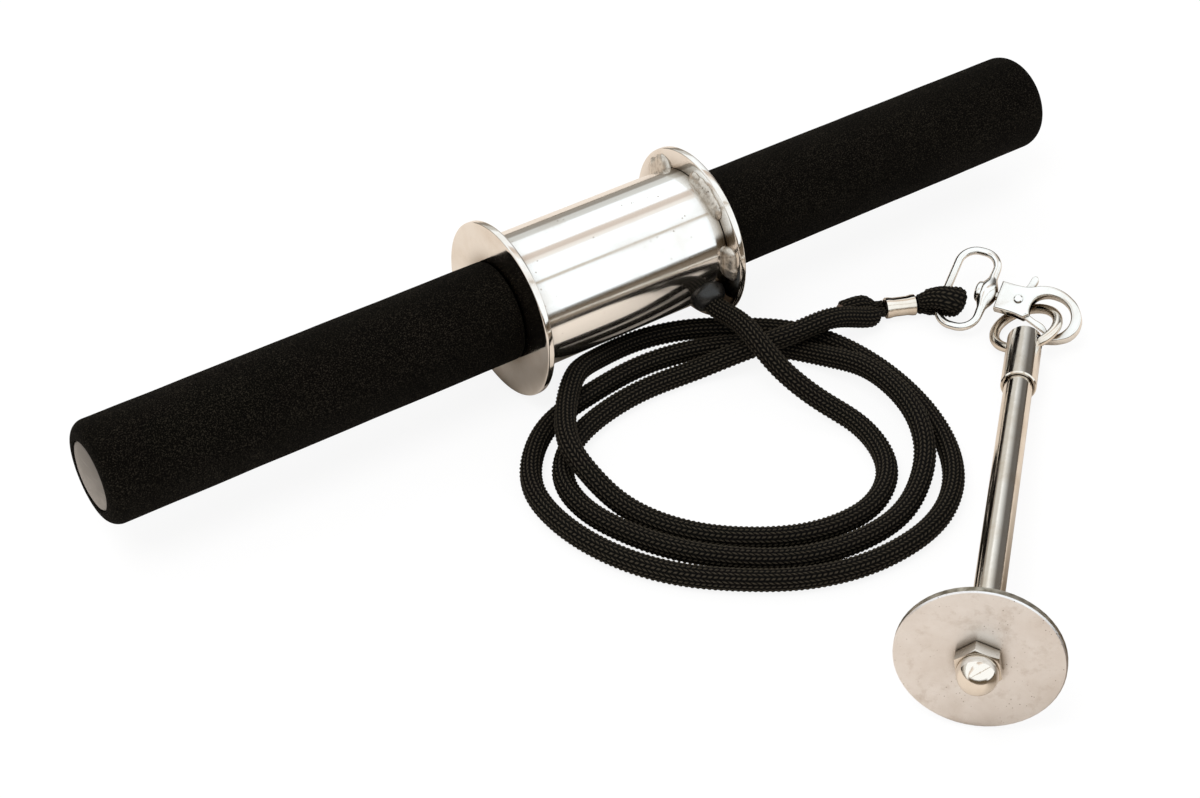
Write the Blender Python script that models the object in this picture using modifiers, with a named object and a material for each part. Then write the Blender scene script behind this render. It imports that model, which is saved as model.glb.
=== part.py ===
"""Forearm trainer: a two-handed bar that winds a rope, and the pin that holds the weight plates."""
import math

import bmesh
import bpy
import numpy as np
from mathutils import Euler, Matrix, Vector

# Clearance between pieces that touch, in metres like every other size here.
GAP = 0.0003

# Bar: grips on a steel core tube, and a drum between two flanges.
GRIP_LENGTH = 0.177
GRIP_DIAMETER = 0.042
GRIP_END_RADIUS = 0.007
GRIP_ROOT_RADIUS = 0.001
CORE_DIAMETER = 0.025
CORE_WALL = 0.002
FLANGE_DIAMETER = 0.074
FLANGE_THICKNESS = 0.003
FLANGE_EDGE = 0.0006
DRUM_LENGTH = 0.090
DRUM_DIAMETER = 0.057
DRUM_WALL = 0.003

# End caps, pressed into the core tube.
CAP_DIAMETER = 0.028
CAP_RIM = 0.0014
CAP_DOME = 0.0024
CAP_STEM = 0.012

# Weld beads between flange and drum, as start and end angles up from the front.
WELDS_RIGHT = ((-6, 20), (46, 90), (122, 150))
WELDS_LEFT = ((14, 40), (56, 84), (118, 146))
WELD_RADIUS = 0.0022

# Shares of a bead's radius: its ripple, its thin ends, and its centre's distance from flange and drum.
WELD_RIPPLE = 0.14
WELD_TIP = 0.6
WELD_OFF_FLANGE = 0.35
WELD_OFF_DRUM = 0.7

# Rope, its collar in the drum and the stopper that holds it inside.
ROPE_DIAMETER = 0.009
ROPE_FROM_FLANGE = 0.0078
ROPE_HOLE_ANGLE = 27
ROPE_HOLE_DIAMETER = 0.0126
ROPE_INNER_END = 0.015
COLLAR_DIAMETER = 0.015
COLLAR_HEIGHT = 0.0036
COLLAR_ROUND = 0.0012
COLLAR_LIP = 0.0015
STOPPER_DIAMETER = 0.014
STOPPER_LENGTH = 0.0070

# Crimped ferrule, and the rope squeezed in it and in the eye round the bow.
FERRULE_START = Vector((0.1080, -0.0555, 0.0056))
FERRULE_END = Vector((0.1204, -0.0610, 0.0059))
FERRULE_DIAMETER = 0.0090
FERRULE_WAIST = 0.0082
FERRULE_FOLD = 0.0006
CRIMP_START = 0.0019
CRIMP_SLOPE = 0.0019
CRUSHED_DIAMETER = 0.0042
CRUSHED_SPACING = 0.0046
CRUSHED_LEAD = 0.003
CRUSH_REACH = 0.011
TAIL_END_DIAMETER = 0.0084
EYE_ROPE_DIAMETER = 0.0070
EYE_CRUSH_REACH = 0.0077
EYE_WRAP = 95

# Swivel: a closed bow that turns on a headed post.
SWIVEL_PLACE = Vector((0.14646, -0.08273, 0.01291))
SWIVEL_YAW = -60.1
SWIVEL_PITCH = -1.3
BOW_ROLL = 21.5
BOW_WIRE = 0.0034
BOW_NEAR = 0.0049
BOW_FAR = 0.0217
BOW_HALF_WIDTH = 0.0193
BOW_CORNER = 0.0075
BOW_EYE_OFFSET = -0.0076
BOSS_DIAMETER = 0.0098
BOSS_LENGTH = 0.0064
POST_DIAMETER = 0.0036
POST_DEPTH = 0.0053
BUTTON_DIAMETER = 0.0090
BUTTON_LENGTH = 0.0027
BUTTON_ROUND = 0.0016

# Snap hook: its plate lies along the swivel's axis, rolled about it. X runs to the tip, Y to the spine.
HOOK_ROLL = 31.5
HOOK_LENGTH = 0.0369
HOOK_THICKNESS = 0.0056
HOOK_EDGE = 0.0007
NECK_WIDTH = 0.0136
NECK_TIP_WIDTH = 0.0095
NECK_HEIGHT = 0.0086
NECK_LENGTH = 0.0075

# Outlines in hundredths of the hook's length, a 1 marking a corner; the trigger's is about the rivet.
HOOK_OUTLINE = (
    (0, 17.6, 1), (19.5, 17.3, 0), (32, 18.7, 0), (44.7, 23.8, 0), (61, 25.5, 0), (79.4, 19.8, 0),
    (93.8, 7.6, 0), (100, -7.6, 0), (95.9, -24.9, 0), (84, -34.7, 0), (65.9, -40.4, 1), (64, -32.8, 1),
    (74.8, -30.1, 0), (84.8, -21.1, 0), (88.1, -10, 0), (84.8, 1.6, 0), (76.4, 10.6, 0), (63.7, 14.6, 0),
    (49.9, 12.5, 0), (41.5, 4.6, 0), (39.6, -5.4, 0), (41.7, -14.1, 1), (35.8, -19.5, 1), (23, -17.6, 0),
    (0, -17.1, 1))
TRIGGER_OUTLINE = (
    (-7.9, 1.1, 0), (-5.7, -6.2, 0), (1.6, -11.9, 0), (11.4, -17.9, 0), (24.4, -23.3, 0), (41.5, -30.4, 1),
    (43.4, -27.4, 1), (36.3, -20.6, 0), (23.3, -16, 0), (14.4, -11.1, 0), (9.5, -3.3, 0), (9.2, 8.1, 0),
    (11.9, 20.6, 0), (14.1, 31.4, 1), (5.4, 33.6, 1), (2.4, 19.5, 0), (-2.4, 8.4, 0))

# Places in hundredths of the hook's length.
RIVET_PLACE = (24.4, 0.3)
THUMB_PLACE = (32.8, 32.2)
RING_PLACE = (67, -2.4)
SLOT_REACH = (15.4, 43.1)

SLOT_WIDTH = 0.0030
TRIGGER_EDGE = 0.0003
RIVET_DIAMETER = 0.0024
RIVET_HEAD = 0.0038
RIVET_HEAD_HEIGHT = 0.0005
THUMB_DIAMETER = 0.0040
THUMB_LENGTH = 0.0050

# Ring that joins the hook and the loading pin; the hook holds it this far round from the pin.
RING_RADIUS = 0.0135
RING_WIRE = 0.0042
RING_HANG = -60.5
RING_SWING = -3.5

# Loading pin: rod, sleeve at the ring's end, disc and nut at the other. Its tilt settles in a few passes.
PIN_YAW = 43.61
PIN_ROLL = -22.8
SETTLING_PASSES = 8
PIN_LENGTH = 0.20318
DISC_DIAMETER = 0.060
DISC_THICKNESS = 0.0033
DISC_EDGE = 0.0005
SEAT_RECESS = 0.0002
ROD_DIAMETER = 0.0115
STUD_DIAMETER = 0.0096
STUD_LENGTH = 0.0110
SLEEVE_WALL = 0.0012
SLEEVE_START = 0.0307
SLEEVE_LIP = 0.0009
SLEEVE_EDGE = 0.0005
NUT_FLATS = 0.017
NUT_HEIGHT = 0.0052
NUT_NECK = 0.0030
NUT_DOME = 0.0160

# Facets round a turned piece.
FINE = 56
RING_FACETS = (48, 12)
MEDIUM = 40
SMALL = 24

# Worked out from the sizes above.
BAR_HEIGHT = FLANGE_DIAMETER / 2
FLANGE_FACE = DRUM_LENGTH / 2
GRIP_START = FLANGE_FACE + FLANGE_THICKNESS + GAP
GRIP_END = GRIP_START + GRIP_LENGTH
CORE_END = GRIP_END - CAP_RIM - CAP_DOME - GAP
DRUM_RADIUS = DRUM_DIAMETER / 2
DRUM_INSIDE = DRUM_RADIUS - DRUM_WALL
ROPE_X = FLANGE_FACE - ROPE_FROM_FLANGE
ROPE_BORE = ROPE_DIAMETER + 2 * GAP
ROPE_STEP = 2 * ROPE_DIAMETER
TAIL_STEP = ROPE_DIAMETER / 3
EYE_STEP = EYE_ROPE_DIAMETER / 5
SEAT_INSIDE = ROD_DIAMETER / 2 + GAP
SLEEVE_BORE = ROD_DIAMETER + 2 * GAP
SLEEVE_DIAMETER = SLEEVE_BORE + 2 * SLEEVE_WALL
# The ring's wire bends, so its centre-line strays equally to both sides of the cross bore's axis.
RING_SAG = RING_RADIUS - math.sqrt(RING_RADIUS ** 2 - (SLEEVE_DIAMETER / 2) ** 2)
RING_OFFSET = RING_RADIUS - RING_SAG / 2
CROSS_BORE = RING_WIRE + RING_SAG + 3 * GAP
SLEEVE_END = CROSS_BORE / 2 + SLEEVE_LIP

# Rope's first points outside the collar, X from its hole, and its route over the floor to the ferrule.
ROPE_EXIT = ((.0008, -.041, .0226), (.0004, -.052, .024), (-.0002, -.062, .0226))
ROPE_ROUTE = (
    (.0385, -.072, .018), (.0425, -.082, .0125),
    (.048, -.092, .0075), (.0525, -.104, .005), (.052, -.119, .0048),
    (.0465, -.133, .0048), (.038, -.142, .0048), (.027, -.1475, .0048), (.014, -.149, .0048),
    (-.003, -.146, .0048), (-.019, -.138, .0048), (-.035, -.125, .0048), (-.0465, -.1085, .0048),
    (-.053, -.092, .0065), (-.056, -.078, .011), (-.056, -.065, .0146), (-.05, -.0515, .0148),
    (-.039, -.037, .015), (-.0285, -.0275, .0144), (-.016, -.021, .0106), (-.003, -.016, .0065),
    (.01, -.0145, .0048), (.032, -.0205, .0048), (.051, -.032, .0048), (.067, -.0455, .0048),
    (.077, -.063, .0048), (.082, -.086, .0048), (.0815, -.11, .0048), (.076, -.132, .0048),
    (.065, -.1515, .0048), (.047, -.166, .0048), (.023, -.172, .0048), (0, -.1705, .0048),
    (-.021, -.163, .0048), (-.0395, -.151, .0048), (-.0575, -.1345, .0048), (-.071, -.112, .0048),
    (-.077, -.088, .0048), (-.075, -.067, .0048), (-.065, -.051, .0048), (-.0485, -.0385, .0048),
    (-.025, -.032, .0048), (.002, -.029, .0048), (.027, -.033, .0048), (.046, -.042, .0048),
    (.059, -.054, .0048), (.067, -.07, .0078), (.071, -.088, .013), (.0715, -.107, .0144),
    (.0685, -.123, .0135), (.062, -.137, .01), (.051, -.148, .0065), (.036, -.1565, .0048),
    (.013, -.16, .0048), (-.012, -.155, .0048), (-.0325, -.142, .0048), (-.048, -.126, .0048),
    (-.0595, -.106, .0048), (-.065, -.086, .0048), (-.0615, -.0675, .0048), (-.0495, -.0545, .0048),
    (-.029, -.0455, .0048), (-.003, -.042, .0048), (.019, -.044, .0055), (.033, -.049, .01),
    (.046, -.054, .014), (.06, -.057, .0156), (.076, -.0575, .0154), (.091, -.0573, .0095),
    (.1, -.0576, .0064))

# Cut tail, from the ferrule back beside the rope.
TAIL_ROUTE = ((.1046, -.05, .0052), (.1, -.0473, .0049), (.092, -.0458, .0048))


# Scene and materials

def clear_scene():
    for item in list(bpy.data.objects):
        bpy.data.objects.remove(item, do_unlink=True)


def new_collection(name):
    collection = bpy.data.collections.new(name)
    bpy.context.scene.collection.children.link(collection)
    return collection


def material(name, colour, roughness, metallic):
    made = bpy.data.materials.new(name)
    made.use_nodes = True
    shader = made.node_tree.nodes["Principled BSDF"]
    shader.inputs["Base Color"].default_value = (*colour, 1)
    shader.inputs["Roughness"].default_value = roughness
    shader.inputs["Metallic"].default_value = metallic
    made.diffuse_color = (*colour, 1)
    return made


def frame(name, parent, location=(0, 0, 0), turn=(0, 0, 0)):
    empty = bpy.data.objects.new(name, None)
    PARTS.objects.link(empty)
    empty.parent = parent
    empty.location = location
    empty.rotation_euler = [math.radians(angle) for angle in turn]
    return empty


def place(item, parent, location=(0, 0, 0), turn=(0, 0, 0)):
    item.parent = parent
    item.location = location
    item.rotation_euler = [math.radians(angle) for angle in turn]
    return item


def new_part(name, mesh, look):
    part = bpy.data.objects.new(name, mesh)
    PARTS.objects.link(part)
    mesh.materials.clear()
    mesh.materials.append(look)
    mesh.shade_smooth()
    mesh.set_sharp_from_angle(angle=math.radians(35))
    return part


def cutter(mesh, name="cutter"):
    tool = bpy.data.objects.new(name, mesh)
    CUTTERS.objects.link(tool)
    tool.hide_render = True
    tool.display_type = "WIRE"
    return tool


def boolean(part, tool, operation="DIFFERENCE"):
    step = part.modifiers.new(operation.lower(), "BOOLEAN")
    step.object = tool
    step.operation = operation
    step.solver = "EXACT"
    return step


# Shapes

def arc(centre_r, centre_z, radius, start, end, count):
    """Points on an arc of a profile, by angle up from the outward direction."""
    angles = np.radians(np.linspace(start, end, count))
    return [(centre_r + radius * math.cos(a), centre_z + radius * math.sin(a)) for a in angles]


def turned_mesh(name, profile, segments, ring):
    """Mesh of a profile turned about Z; it runs down its outer side, and a ring's profile closes."""
    mesh = bpy.data.meshes.new(name)
    count = len(profile)
    edges = [(i, (i + 1) % count) for i in range(count if ring else count - 1)]
    mesh.from_pydata([(r, 0, z) for r, z in profile], edges, [])
    holder = bpy.data.objects.new(name, mesh)
    PARTS.objects.link(holder)
    screw = holder.modifiers.new("turn", "SCREW")
    screw.steps = segments
    screw.render_steps = segments
    screw.use_merge_vertices = True
    screw.merge_threshold = 0.00001
    return baked(holder)


def baked(holder):
    """The evaluated mesh of an object, which is then removed."""
    bpy.context.view_layer.update()
    graph = bpy.context.evaluated_depsgraph_get()
    mesh = bpy.data.meshes.new_from_object(holder.evaluated_get(graph))
    name = holder.name
    bpy.data.objects.remove(holder, do_unlink=True)
    mesh.name = name
    shape = bmesh.new()
    shape.from_mesh(mesh)
    bmesh.ops.remove_doubles(shape, verts=shape.verts, dist=0.00001)
    bmesh.ops.recalc_face_normals(shape, faces=shape.faces)
    if shape.calc_volume(signed=True) < 0:
        bmesh.ops.reverse_faces(shape, faces=shape.faces)
    shape.to_mesh(mesh)
    shape.free()
    return mesh


def turned(name, profile, look, segments=FINE, ring=False):
    return new_part(name, turned_mesh(name, profile, segments, ring), look)


def pipe(outer, inner, top, bottom):
    """Ring profile of a plain tube."""
    return [(outer, top), (outer, bottom), (inner, bottom), (inner, top)]


def rod_mesh(radius, length, segments=MEDIUM, at=0.0):
    """Cylinder along Z, centred at a height."""
    shape = bmesh.new()
    bmesh.ops.create_cone(shape, cap_ends=True, segments=segments, radius1=radius, radius2=radius,
                          depth=length, matrix=Matrix.Translation((0, 0, at)))
    mesh = bpy.data.meshes.new("rod")
    shape.to_mesh(mesh)
    shape.free()
    return mesh


def box_mesh(low, high):
    low = Vector(low)
    high = Vector(high)
    shape = bmesh.new()
    size = Matrix.Diagonal((*(high - low), 1))
    bmesh.ops.create_cube(shape, size=1, matrix=Matrix.Translation((low + high) / 2) @ size)
    mesh = bpy.data.meshes.new("box")
    shape.to_mesh(mesh)
    shape.free()
    return mesh


def tube_mesh(name, points, radii, resolution=2, closed=False):
    """Bevelled curve along points, each with its own radius."""
    curve = bpy.data.curves.new(name, "CURVE")
    curve.dimensions = "3D"
    curve.bevel_depth = 1
    curve.bevel_resolution = resolution
    curve.use_fill_caps = not closed
    spline = curve.splines.new("POLY")
    spline.points.add(len(points) - 1)
    for knot, point, radius in zip(spline.points, points, radii):
        knot.co = (*point, 1)
        knot.radius = radius
    spline.use_cyclic_u = closed
    holder = bpy.data.objects.new(name, curve)
    PARTS.objects.link(holder)
    return baked(holder)


def plate_mesh(name, outline, thickness, edge):
    """Round-edged plate in XY, centred on its plane, from (x, y, corner) points of its outline."""
    curve = bpy.data.curves.new(name, "CURVE")
    curve.dimensions = "2D"
    curve.fill_mode = "BOTH"
    curve.resolution_u = 3
    curve.extrude = thickness / 2 - edge
    curve.bevel_depth = edge
    curve.bevel_resolution = 1
    curve.offset = -edge
    spline = curve.splines.new("BEZIER")
    spline.bezier_points.add(len(outline) - 1)
    for knot, (x, y, corner) in zip(spline.bezier_points, outline):
        knot.co = (x, y, 0)
        knot.handle_left_type = "VECTOR" if corner else "AUTO"
        knot.handle_right_type = "VECTOR" if corner else "AUTO"
    spline.use_cyclic_u = True
    holder = bpy.data.objects.new(name, curve)
    PARTS.objects.link(holder)
    return baked(holder)


def smooth_path(points, spacing):
    """Points at an even spacing on a natural cubic spline through hand-chosen points."""
    given = np.array([tuple(point) for point in points], dtype=float)
    knots = np.concatenate(([0], np.cumsum(np.linalg.norm(np.diff(given, axis=0), axis=1))))
    steps = np.diff(knots)[:, None]
    slopes = np.diff(given, axis=0) / steps
    count = len(knots)
    system = np.eye(count)
    target = np.zeros_like(given)
    for i in range(1, count - 1):
        system[i, i - 1:i + 2] = (steps[i - 1, 0], 2 * (steps[i - 1, 0] + steps[i, 0]), steps[i, 0])
        target[i] = 3 * (slopes[i] - slopes[i - 1])
    bend = np.linalg.solve(system, target)
    places = np.linspace(0, knots[-1], round(knots[-1] / spacing) + 1)
    index = np.clip(np.searchsorted(knots, places, side="right") - 1, 0, count - 2)
    along = (places - knots[index])[:, None]
    first = slopes[index] - steps[index] * (2 * bend[index] + bend[index + 1]) / 3
    cubic = (bend[index + 1] - bend[index]) / (3 * steps[index])
    return given[index] + along * (first + along * (bend[index] + along * cubic))


def tapered(points, radius, start_radius, end_radius, reach):
    """Radius at each point of a path, drawn in over a reach before the crushed ends."""
    along = np.concatenate(([0], np.cumsum(np.linalg.norm(np.diff(points, axis=0), axis=1))))
    near = np.clip((along - CRUSHED_LEAD) / reach, 0, 1)
    far = np.clip((along[-1] - along - CRUSHED_LEAD) / reach, 0, 1)
    ease_near = near * near * (3 - 2 * near)
    ease_far = far * far * (3 - 2 * far)
    return radius - (radius - start_radius) * (1 - ease_near) - (radius - end_radius) * (1 - ease_far)


# Bar

def build_bar(bar):
    along = frame("bar_axis", bar, turn=(0, 90, 0))
    core = turned("core_tube", pipe(CORE_DIAMETER / 2, CORE_DIAMETER / 2 - CORE_WALL, CORE_END, -CORE_END),
                  STEEL, segments=MEDIUM, ring=True)
    place(core, along)
    for side, turn in (("left", 180), ("right", 0)):
        half = frame(f"bar_{side}", along, turn=(turn, 0, 0))
        place(build_grip(side), half)
        place(build_cap(side), half, location=(0, 0, CORE_END + GAP))
    drum = turned("drum_tube", pipe(DRUM_RADIUS, DRUM_INSIDE, DRUM_LENGTH / 2 - GAP, GAP - DRUM_LENGTH / 2),
                  STEEL, ring=True)
    place(drum, along)
    for side, sign, welds in (("left", -1, WELDS_LEFT), ("right", 1, WELDS_RIGHT)):
        build_flange(side, sign, welds, along)
    build_rope_exit(bar, drum)


def build_grip(side):
    radius = GRIP_DIAMETER / 2
    bore = CORE_DIAMETER / 2 + GAP
    recess = CAP_DIAMETER / 2 + GAP
    profile = [(recess, GRIP_END)]
    profile += arc(radius - GRIP_END_RADIUS, GRIP_END - GRIP_END_RADIUS, GRIP_END_RADIUS, 90, 0, 8)
    profile += arc(radius - GRIP_ROOT_RADIUS, GRIP_START + GRIP_ROOT_RADIUS, GRIP_ROOT_RADIUS, 0, -90, 3)
    profile += [(bore, GRIP_START), (bore, CORE_END), (recess, CORE_END)]
    return turned(f"grip_{side}", profile, FOAM, ring=True)


def build_cap(side):
    radius = CAP_DIAMETER / 2
    stem = CORE_DIAMETER / 2 - CORE_WALL - GAP
    dome = (radius ** 2 + CAP_DOME ** 2) / (2 * CAP_DOME)
    rise = math.degrees(math.asin(radius / dome))
    profile = [(r, z) for r, z in arc(0, CAP_RIM + CAP_DOME - dome, dome, 90, 90 - rise, 6)]
    profile[0] = (0, CAP_RIM + CAP_DOME)
    profile += [(radius, 0), (stem, 0), (stem, -CAP_STEM), (0, -CAP_STEM)]
    return turned(f"end_cap_{side}", profile, CAP_PLASTIC, segments=MEDIUM)


def build_flange(side, sign, welds, along):
    radius = FLANGE_DIAMETER / 2
    bore = CORE_DIAMETER / 2 + GAP
    half = FLANGE_THICKNESS / 2
    profile = [(bore, half), (radius - FLANGE_EDGE, half), (radius, half - FLANGE_EDGE),
               (radius, FLANGE_EDGE - half), (radius - FLANGE_EDGE, -half), (bore, -half)]
    flange = turned(f"flange_{side}", profile, CHROME, ring=True)
    place(flange, along, location=(0, 0, sign * (FLANGE_FACE + half)))
    for number, (start, end) in enumerate(welds):
        bead = cutter(bead_mesh(f"bead_{side}_{number}", start, end), f"bead_{side}_{number}")
        place(bead, along, location=(0, 0, sign * (FLANGE_FACE - WELD_RADIUS * WELD_OFF_FLANGE)))
        boolean(flange, bead, "UNION")
    clear = cutter(rod_mesh(DRUM_RADIUS + GAP, DRUM_LENGTH - GAP, FINE), f"drum_clearance_{side}")
    place(clear, along)
    boolean(flange, clear)


def bead_mesh(name, start, end):
    """A rippled bead round the drum, from one angle above the front to another."""
    angles = np.radians(np.linspace(start, end, max(5, round((end - start) / 4))))
    radius = DRUM_RADIUS + WELD_RADIUS * WELD_OFF_DRUM
    points = [(-radius * math.sin(a), -radius * math.cos(a), 0) for a in angles]
    swell = [1 + WELD_RIPPLE * math.sin(3 * i) for i in range(len(angles))]
    swell[0] = swell[-1] = WELD_TIP
    return tube_mesh(name, points, [WELD_RADIUS * s for s in swell], 1)


def build_rope_exit(bar, drum):
    """The hole, collar and stopper, on an axis that points out of the drum's front and down."""
    out = frame("rope_axis", bar, location=(ROPE_X, 0, 0), turn=(90 + ROPE_HOLE_ANGLE, 0, 0))
    hole = cutter(rod_mesh(ROPE_HOLE_DIAMETER / 2, DRUM_RADIUS, MEDIUM, DRUM_RADIUS), "rope_hole")
    place(hole, out)
    boolean(drum, hole)

    top = DRUM_RADIUS + COLLAR_HEIGHT
    bottom = DRUM_INSIDE - GAP - COLLAR_LIP
    outer = COLLAR_DIAMETER / 2
    profile = [(ROPE_BORE / 2, top)]
    profile += arc(outer - COLLAR_ROUND, top - COLLAR_ROUND, COLLAR_ROUND, 90, 0, 4)
    profile += [(outer, bottom), (ROPE_BORE / 2, bottom)]
    collar = turned("rope_grommet", profile, RUBBER, segments=MEDIUM, ring=True)
    place(collar, out)
    groove = cutter(groove_mesh(), "wall_groove")
    place(groove, bar)
    boolean(collar, groove)

    stopper_top = bottom - GAP
    stopper = turned("rope_stopper", pipe(STOPPER_DIAMETER / 2, ROPE_BORE / 2, stopper_top,
                                          stopper_top - STOPPER_LENGTH),
                     STEEL, segments=MEDIUM, ring=True)
    place(stopper, out)


def groove_mesh():
    """The drum's wall with its clearance, less the round neck that the collar keeps in the hole."""
    tube = turned_mesh("wall", pipe(DRUM_RADIUS + GAP, DRUM_INSIDE - GAP, DRUM_LENGTH / 2, 0), FINE, True)
    tube.transform(Matrix.Rotation(math.radians(90), 4, "Y"))
    wall = bpy.data.objects.new("wall_groove", tube)
    PARTS.objects.link(wall)
    neck = cutter(rod_mesh(ROPE_HOLE_DIAMETER / 2 - GAP, DRUM_RADIUS, MEDIUM, DRUM_RADIUS), "neck")
    place(neck, None, location=(ROPE_X, 0, 0), turn=(90 + ROPE_HOLE_ANGLE, 0, 0))
    boolean(wall, neck)
    mesh = baked(wall)
    bpy.data.objects.remove(neck, do_unlink=True)
    return mesh


# Rope

def build_rope(ground):
    start = Vector((ROPE_X, 0, BAR_HEIGHT))
    angle = math.radians(ROPE_HOLE_ANGLE)
    out = Vector((0, -math.cos(angle), -math.sin(angle)))
    ferrule = (FERRULE_END - FERRULE_START).normalized()
    side = Vector((-ferrule.y, ferrule.x, 0)).normalized() * (CRUSHED_SPACING / 2)
    mouth = FERRULE_START - ferrule * GAP
    lead = ferrule * CRUSHED_LEAD
    radius = ROPE_DIAMETER / 2
    crushed = CRUSHED_DIAMETER / 2

    inside = [start + out * reach for reach in (ROPE_INNER_END, (ROPE_INNER_END + DRUM_RADIUS) / 2,
                                                DRUM_RADIUS, DRUM_RADIUS + COLLAR_HEIGHT + GAP)]
    outside = [Vector((ROPE_X + x, y, z)) for x, y, z in ROPE_EXIT]
    route = inside + outside + [Vector(point) for point in ROPE_ROUTE] + [mouth - side - lead]
    path = np.vstack((smooth_path(route, ROPE_STEP), mouth - side))
    report_gap(path)
    radii = tapered(path, radius, radius, crushed, CRUSH_REACH)
    place(new_part("rope", tube_mesh("rope", path, radii), BRAID), ground)

    tail_route = [mouth + side - lead] + [Vector(point) for point in TAIL_ROUTE]
    path = np.vstack((mouth + side, smooth_path(tail_route, TAIL_STEP)))
    radii = tapered(path, radius, crushed, TAIL_END_DIAMETER / 2, CRUSH_REACH)
    place(new_part("rope_tail", tube_mesh("rope_tail", path, radii), BRAID), ground)


def report_gap(path):
    """Prints the least gap of the rope to itself, between points over three diameters apart."""
    parts = np.linspace(0, 1, 9)[:-1, None]
    fine = np.vstack([a + (b - a) * parts for a, b in zip(path[:-1], path[1:])])
    length = np.linalg.norm(np.diff(path, axis=0), axis=1).sum()
    skip = round(3 * ROPE_DIAMETER / length * len(fine))
    least = min(np.linalg.norm(fine[i + skip:] - fine[i], axis=1).min() for i in range(len(fine) - skip))
    print(f"rope: length {length * 1000:.0f} mm, least gap to itself {(least - ROPE_DIAMETER) * 1000:.2f} mm")


def build_eye(ground, bow):
    """The squeezed eye: out of the ferrule, round the bow's far arm and back in."""
    bpy.context.view_layer.update()
    inside = ground.matrix_world.inverted() @ bow.matrix_world
    arm = inside.translation
    across = inside.to_3x3() @ Vector((0, 1, 0))
    tip = arm - FERRULE_END
    tip = (tip - across * tip.dot(across)).normalized()
    up = tip.cross(across).normalized()
    if up.z < 0:
        up = -up
    radius = EYE_ROPE_DIAMETER / 2
    crushed = CRUSHED_DIAMETER / 2
    reach = BOW_WIRE / 2 + GAP + radius
    ferrule = (FERRULE_END - FERRULE_START).normalized()
    mouth = FERRULE_END + ferrule * GAP
    lead = ferrule * (CRUSHED_LEAD / 2)
    step = (up - ferrule * up.dot(ferrule)).normalized() * (CRUSHED_SPACING / 2)
    turns = np.radians(np.linspace(EYE_WRAP, -EYE_WRAP, 13))
    loop = [arm + (tip * math.cos(a) + up * math.sin(a)) * reach for a in turns]
    path = smooth_path([mouth + step + lead] + loop + [mouth - step + lead], EYE_STEP)
    path = np.vstack((mouth + step, path, mouth - step))
    radii = tapered(path, radius, crushed, crushed, EYE_CRUSH_REACH)
    place(new_part("rope_eye", tube_mesh("rope_eye", path, radii), BRAID), ground)


def build_ferrule(ground):
    axis = FERRULE_END - FERRULE_START
    length = axis.length
    end = FERRULE_DIAMETER / 2
    waist = FERRULE_WAIST / 2
    edge = FERRULE_FOLD
    slope = CRIMP_START + CRIMP_SLOPE
    profile = [(0, length), (end - edge, length), (end, length - edge), (end, length - CRIMP_START),
               (waist, length - slope), (waist, slope), (end, CRIMP_START), (end, edge),
               (end - edge, 0), (0, 0)]
    ferrule = turned("ferrule", profile, STEEL, segments=SMALL)
    ferrule.parent = ground
    ferrule.location = FERRULE_START
    ferrule.rotation_euler = axis.to_track_quat("Z", "Y").to_euler()
    low = (-FERRULE_FOLD / 2, waist - FERRULE_FOLD, -length)
    high = (FERRULE_FOLD / 2, end + edge, 2 * length)
    fold = cutter(box_mesh(low, high), "ferrule_fold")
    fold.parent = ferrule
    boolean(ferrule, fold)


# Swivel and snap hook

def bow_path():
    """Rounded rectangle of the bow's wire, in the swivel's frame."""
    corners = ((-BOW_NEAR - BOW_CORNER, BOW_HALF_WIDTH - BOW_CORNER, 0),
               (-BOW_FAR + BOW_CORNER, BOW_HALF_WIDTH - BOW_CORNER, 90),
               (-BOW_FAR + BOW_CORNER, BOW_CORNER - BOW_HALF_WIDTH, 180),
               (-BOW_NEAR - BOW_CORNER, BOW_CORNER - BOW_HALF_WIDTH, 270))
    points = []
    for x, y, start in corners:
        points += [(px, py, 0) for px, py in arc(x, y, BOW_CORNER, start, start + 90, 7)]
    return points


def build_bow(bow):
    """The bow's own frame stands on the arm that the rope's eye holds."""
    shift = Vector((-BOW_FAR, BOW_EYE_OFFSET, 0))
    points = [Vector(point) - shift for point in bow_path()]
    wire = tube_mesh("swivel_bow", points, [BOW_WIRE / 2] * len(points), resolution=3, closed=True)
    ring = place(new_part("swivel_bow", wire, NICKEL), bow)
    centre = -GAP - BOSS_LENGTH / 2
    boss = cutter(turned_mesh("bow_boss", barrel(BOSS_DIAMETER / 2, BOSS_LENGTH), MEDIUM, False), "bow_boss")
    place(boss, bow, location=Vector((centre, 0, 0)) - shift, turn=(0, 90, 0))
    boolean(ring, boss, "UNION")
    bore = cutter(rod_mesh(POST_DIAMETER / 2 + GAP, 2 * BOSS_LENGTH, SMALL), "post_bore")
    place(bore, bow, location=Vector((centre, 0, 0)) - shift, turn=(0, 90, 0))
    boolean(ring, bore)


def barrel(radius, length):
    """Profile of a short barrel, fuller in the middle."""
    heights = np.linspace(length / 2, -length / 2, 5)
    bulge = [(radius * math.sqrt(1 - (height / length) ** 2), height) for height in heights]
    return [(0, length / 2)] + bulge + [(0, -length / 2)]


def build_post(hook):
    """Headed post: its button lies inside the bow and its stem is fixed in the hook's neck."""
    stem = POST_DIAMETER / 2
    button = BUTTON_DIAMETER / 2
    base = 2 * GAP + BOSS_LENGTH
    profile = [(0, base + BUTTON_LENGTH)]
    profile += arc(button - BUTTON_ROUND, base + BUTTON_LENGTH - BUTTON_ROUND, BUTTON_ROUND, 90, 0, 5)
    profile += [(button, base), (stem, base), (stem, -POST_DEPTH), (0, -POST_DEPTH)]
    place(turned("swivel_post", profile, NICKEL, segments=SMALL), hook, turn=(0, -90, 0))


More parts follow.
